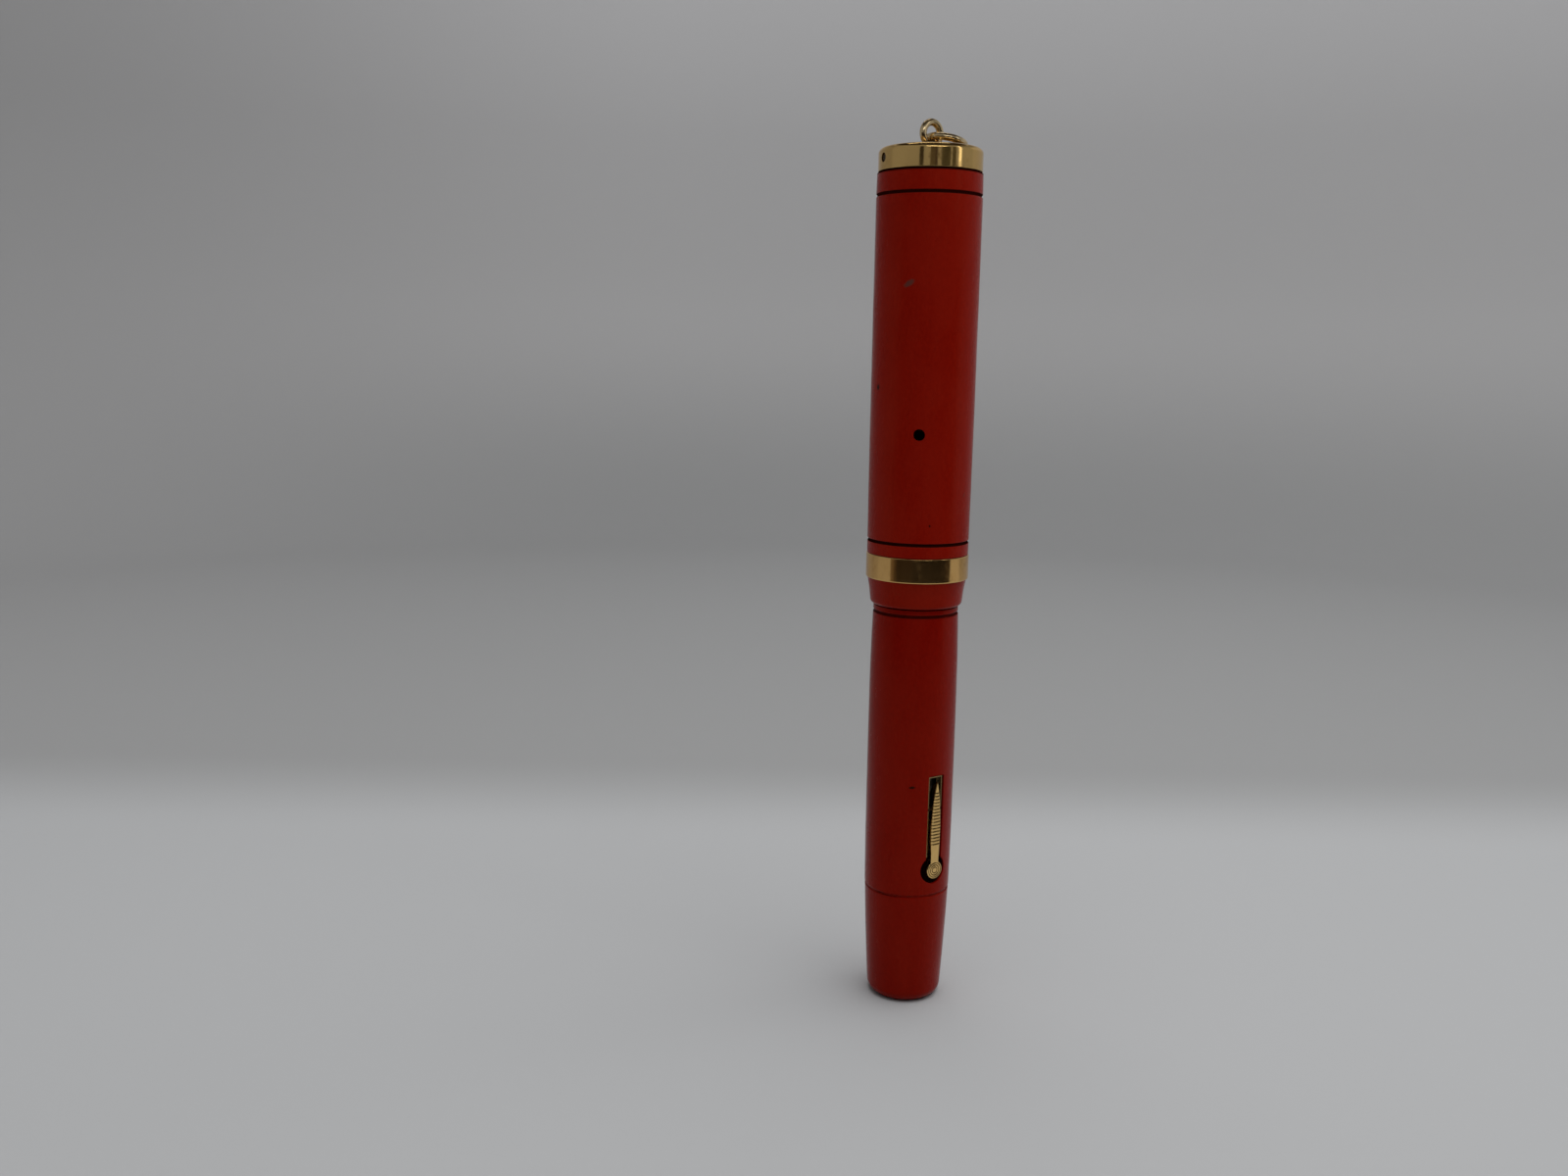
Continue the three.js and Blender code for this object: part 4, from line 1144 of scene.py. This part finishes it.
def ring_loop():
    stem = rod("stem", STEM_R, (0, 0, STEM_END_Z), (0, 0, EYE_Z - EYE_R + EYE_WIRE_R / 2), 0.1)
    return combine(eye("chain_loop", EYE_WIRE_R), stem, "UNION")


def loop_collar():
    low_z, top_z = COLLAR_SIDE[0][1], COLLAR_SIDE[-1][1]
    outline = [(STEM_HOLE_R, low_z), COLLAR_SIDE[0], *smooth(COLLAR_SIDE[1:], 6), (STEM_HOLE_R, top_z)]
    piece = turned("loop_collar_flare", eased(outline, 0.04, closed=True), closed=True, count=MEDIUM)
    return cut(piece, eye("cutter", EYE_SEAT_R))


def loop_washer():
    outline = rectangle(STEM_HOLE_R, WASHER_R, WASHER_LOW_Z, WASHER_TOP_Z)
    return turned("loop_washer_disc", eased(outline, 0.08, closed=True), closed=True, count=MEDIUM)


def jump_ring():
    """A ring of wire that hangs from the eye and rests on the crown, its joint at the far side."""
    piece = torus("jump_ring_wire", JUMP_RING_R, JUMP_WIRE_R, seam=0.04)
    tilt = Matrix.Rotation(math.radians(JUMP_TILT), 4, "Y")
    to_hinge = Matrix.Translation((0, 0, JUMP_HINGE_Z * MM))
    piece.data.transform(to_hinge @ tilt @ Matrix.Translation((JUMP_RING_R * MM, 0, 0)))
    return piece


# ---- Assembly ----

place(barrel(), "barrel", "red_rubber", barrel_red, ["barrel"], is_turned=True)
place(lever(), "lever", "gold_filled", lever_gold, ["lever"])
place(lever_box(), "barrel", "gold_filled", shaded_box_gold, ["lever_box"])
place(pivot_rod("lever_pin_rod", LEVER_PIN_R, PIN_HALF_LENGTH), "barrel", "steel", dark_pin, ["lever_pin"])
place(pressure_bar(), "pressure_bar", "steel", steel, ["pressure_bar"])
place(sac_neck(), "barrel", "sac_rubber", soft_rubber, is_turned=True)
place(section(), "barrel", "black_rubber", black_rubber, ["section"], is_turned=True)
place(feed(), "barrel", "black_rubber", black_rubber, ["feed"])
place(nib(), "barrel", "nib_gold", nib_gold, ["nib"])
place(nib_tip(), "barrel", "tipping", tipping, ["nib_tip"])
place(cap_tube(), "cap", "red_rubber", cap_red, ["cap_tube"], is_turned=True)
place(cap_band(), "cap", "gold_filled", band_gold, ["cap_band"], is_turned=True)
place(crown_cap(), "cap", "gold_filled", gold, ["crown_cap"], is_turned=True)
place(crown_pin(), "cap", "steel", dark_pin, ["crown_pin"])
place(ring_loop(), "cap", "gold_filled", loop_gold, ["ring_loop"])
place(loop_collar(), "cap", "gold_filled", gold, ["loop_collar"], is_turned=True)
place(inner_cap(), "inner_cap", "black_rubber", black_rubber, ["inner_cap"], is_turned=True)
place(loop_washer(), "loop_washer", "steel", steel, ["loop_washer"], is_turned=True)
place(jump_ring(), "jump_ring", "gold_filled", loop_gold, ["jump_ring"])

# The leaf belongs to no body; its place is baked into its mesh.
leaf = place(bar_spring(), None, "steel", steel, ["bar_spring"])
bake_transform(leaf)
sac = place(ink_sac(), "barrel", "sac_rubber", soft_rubber, ["ink_sac"], is_turned=True)
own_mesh(sac)

# ---- Stage, light and camera ----

VIEW_AZIMUTH = -38.5
CAMERA_REACH = 171.45
CAMERA_HEIGHT = 82.8
AIM_LEFT = 5.58
AIM_DOWN = 9.76
ROLL = 1.0
LENS = 31.5

FLOOR_R = 420
SWEEP_R = 200
WALL_TOP_Z = 700
# Paper tones with painted light and shade: pale near the pen, darker behind it and to the left, paler high
# up.
PAPER = (0.465, 0.47, 0.475)
FAR_PAPER = (0.335, 0.335, 0.335)
HIGH_PAPER = (0.65, 0.645, 0.65)
WALL_PAPER = (0.49, 0.485, 0.485)
LEFT_SHADE = 0.8
# Where the paper's painted light and shade change: behind the pen, up the wall and to the left.
HORIZON_FADE = (55, 101)
WALL_FADE = (5, 110)
HIGH_FADE = (110, 330)
LEFT_FADE = (60, 460)

# Cards that show only in reflections: azimuths from the view, heights and colour.
CARD_REACH = 240
CARDS = [
    ((-60, -52), (0.5, 128), (0.2, 0.15, 0.1)),
    ((-52, -46), (0.5, 128), (0.08, 0.055, 0.035)),
    ((-46, -10), (0.5, 128), (0.026, 0.016, 0.01)),
    ((-10, 66), (0.5, 128), (0.011, 0.006, 0.004)),
    ((66, 78), (0.5, 128), (0.045, 0.03, 0.018)),
    ((-24, -15), (130, 200), (0.04, 0.035, 0.03)),
    ((-1, 10), (130, 200), (0.12, 0.1, 0.08)),
    ((10, 15), (130, 200), (0.05, 0.03, 0.03)),
    ((23, 43), (130, 200), (0.08, 0.08, 0.06)),
    ((47, 56), (130, 200), (0.12, 0.11, 0.08)),
]
# Soft lamps: name, azimuth from the view, reach, height, size, power and whether reflections show it.
LAMPS = [
    ("top", 80, 120, 620, (600, 600), 3.05, False),
    ("side_strip", 66, 230, 185, (30, 120), 0.013, True),
    ("front_strip", 14, 260, 230, (220, 18), 0.05, True),
    ("back_strip", 194, 150, 520, (300, 30), 0.12, True),
]
LAMP_AIM_Z = 50
AMBIENT = (0.95, 0.97, 1.0, 1)
AMBIENT_STRENGTH = 0.35
CEILING_Z = 560
CEILING_R = 420
CEILING_BROWN = (0.09, 0.065, 0.05)


def paper():
    """Matt paper with painted light and shade: paler around the pen and high up than behind the pen, and
    darker to the left.
    """
    s = Surface("paper")
    behind = s.along(-radial(VIEW_AZIMUTH + AIM_LEFT, 1, 0))
    to_left = s.along(-radial(VIEW_AZIMUTH + AIM_LEFT + 90, 1, 0))
    far = s.mix(s.fade(s.z, WALL_FADE), FAR_PAPER, WALL_PAPER)
    far = s.mix(s.fade(s.z, HIGH_FADE), far, HIGH_PAPER)
    far = s.mix(s.fade(to_left, LEFT_FADE), far, tuple(c * LEFT_SHADE for c in WALL_PAPER))
    tone = s.mix(s.fade(behind, HORIZON_FADE), PAPER, far)
    s.put(Base_Color=tone, Roughness=0.85)
    s.bump((s.noise(0.6, 4.0), 0.01))
    return s.material


def stage_piece(piece, material):
    piece.data.shade_smooth()
    piece.data.materials.append(material)
    return piece


def floor_and_wall():
    outline = [(0, 0), (30, 0), (FLOOR_R, 0)]
    outline += arc((FLOOR_R, SWEEP_R), SWEEP_R, -90, 0, 24)[1:]
    outline += [(FLOOR_R + SWEEP_R, WALL_TOP_Z)]
    return stage_piece(turned("stage_paper", outline), paper())


def matt(colour):
    s = Surface("card")
    s.put(Base_Color=(*colour, 1), Roughness=0.9)
    return s.material


def ceiling():
    """A dark disc overhead that only polished surfaces see."""
    points = [radial(a, CEILING_R, CEILING_Z) for a in steps(0, 360, 48)[:-1]]
    disc = mesh_object("stage_ceiling", points, [range(len(points))])
    made = stage_piece(disc, matt(CEILING_BROWN))
    made.visible_camera = False
    made.visible_diffuse = False
    made.visible_shadow = False


def card(azimuths, card_heights, colour):
    """A curved card that the camera sees only in reflections."""
    points, faces = [], []
    for azimuth in steps(*azimuths, 24):
        points += [radial(VIEW_AZIMUTH + azimuth, CARD_REACH, z) for z in card_heights]
    for i in range(0, len(points) - 2, 2):
        faces.append([i, i + 2, i + 3, i + 1])
    made = stage_piece(mesh_object("stage_card", points, faces), matt(colour))
    made.visible_camera = False
    made.visible_shadow = False


def lamp(name, azimuth, reach, z, size, power, in_reflections):
    """A soft lamp, aimed at the pen's middle."""
    light = bpy.data.lights.new(name, "AREA")
    light.shape = "RECTANGLE"
    light.size, light.size_y = (s * MM for s in size)
    light.energy = power
    made = bpy.data.objects.new(name, light)
    bpy.context.scene.collection.objects.link(made)
    made.location = radial(VIEW_AZIMUTH + azimuth, reach, z) * MM
    middle = Vector((0, 0, LAMP_AIM_Z * MM))
    made.rotation_euler = (middle - made.location).to_track_quat("-Z", "Y").to_euler()
    made.visible_camera = False
    made.visible_glossy = in_reflections


def world():
    scene_world = bpy.data.worlds.new("studio")
    bpy.context.scene.world = scene_world
    scene_world.use_nodes = True
    background = scene_world.node_tree.nodes["Background"]
    background.inputs["Color"].default_value = AMBIENT
    background.inputs["Strength"].default_value = AMBIENT_STRENGTH


def camera():
    data = bpy.data.cameras.new("camera")
    data.lens = LENS
    data.sensor_width = 36
    data.clip_start, data.clip_end = 0.005, 10
    viewer = bpy.data.objects.new("camera", data)
    bpy.context.scene.collection.objects.link(viewer)
    heading = Matrix.Rotation(math.radians(VIEW_AZIMUTH + AIM_LEFT), 4, "Z")
    pitch = Matrix.Rotation(math.radians(90 - AIM_DOWN), 4, "X")
    roll = Matrix.Rotation(math.radians(ROLL), 4, "Z")
    place_at = Matrix.Translation(radial(VIEW_AZIMUTH, CAMERA_REACH, CAMERA_HEIGHT) * MM)
    viewer.matrix_world = place_at @ heading @ pitch @ roll
    bpy.context.scene.camera = viewer


floor_and_wall()
ceiling()
for each_card in CARDS:
    card(*each_card)
for each_lamp in LAMPS:
    lamp(*each_lamp)
world()
camera()
bpy.context.scene.view_settings.view_transform = "Standard"
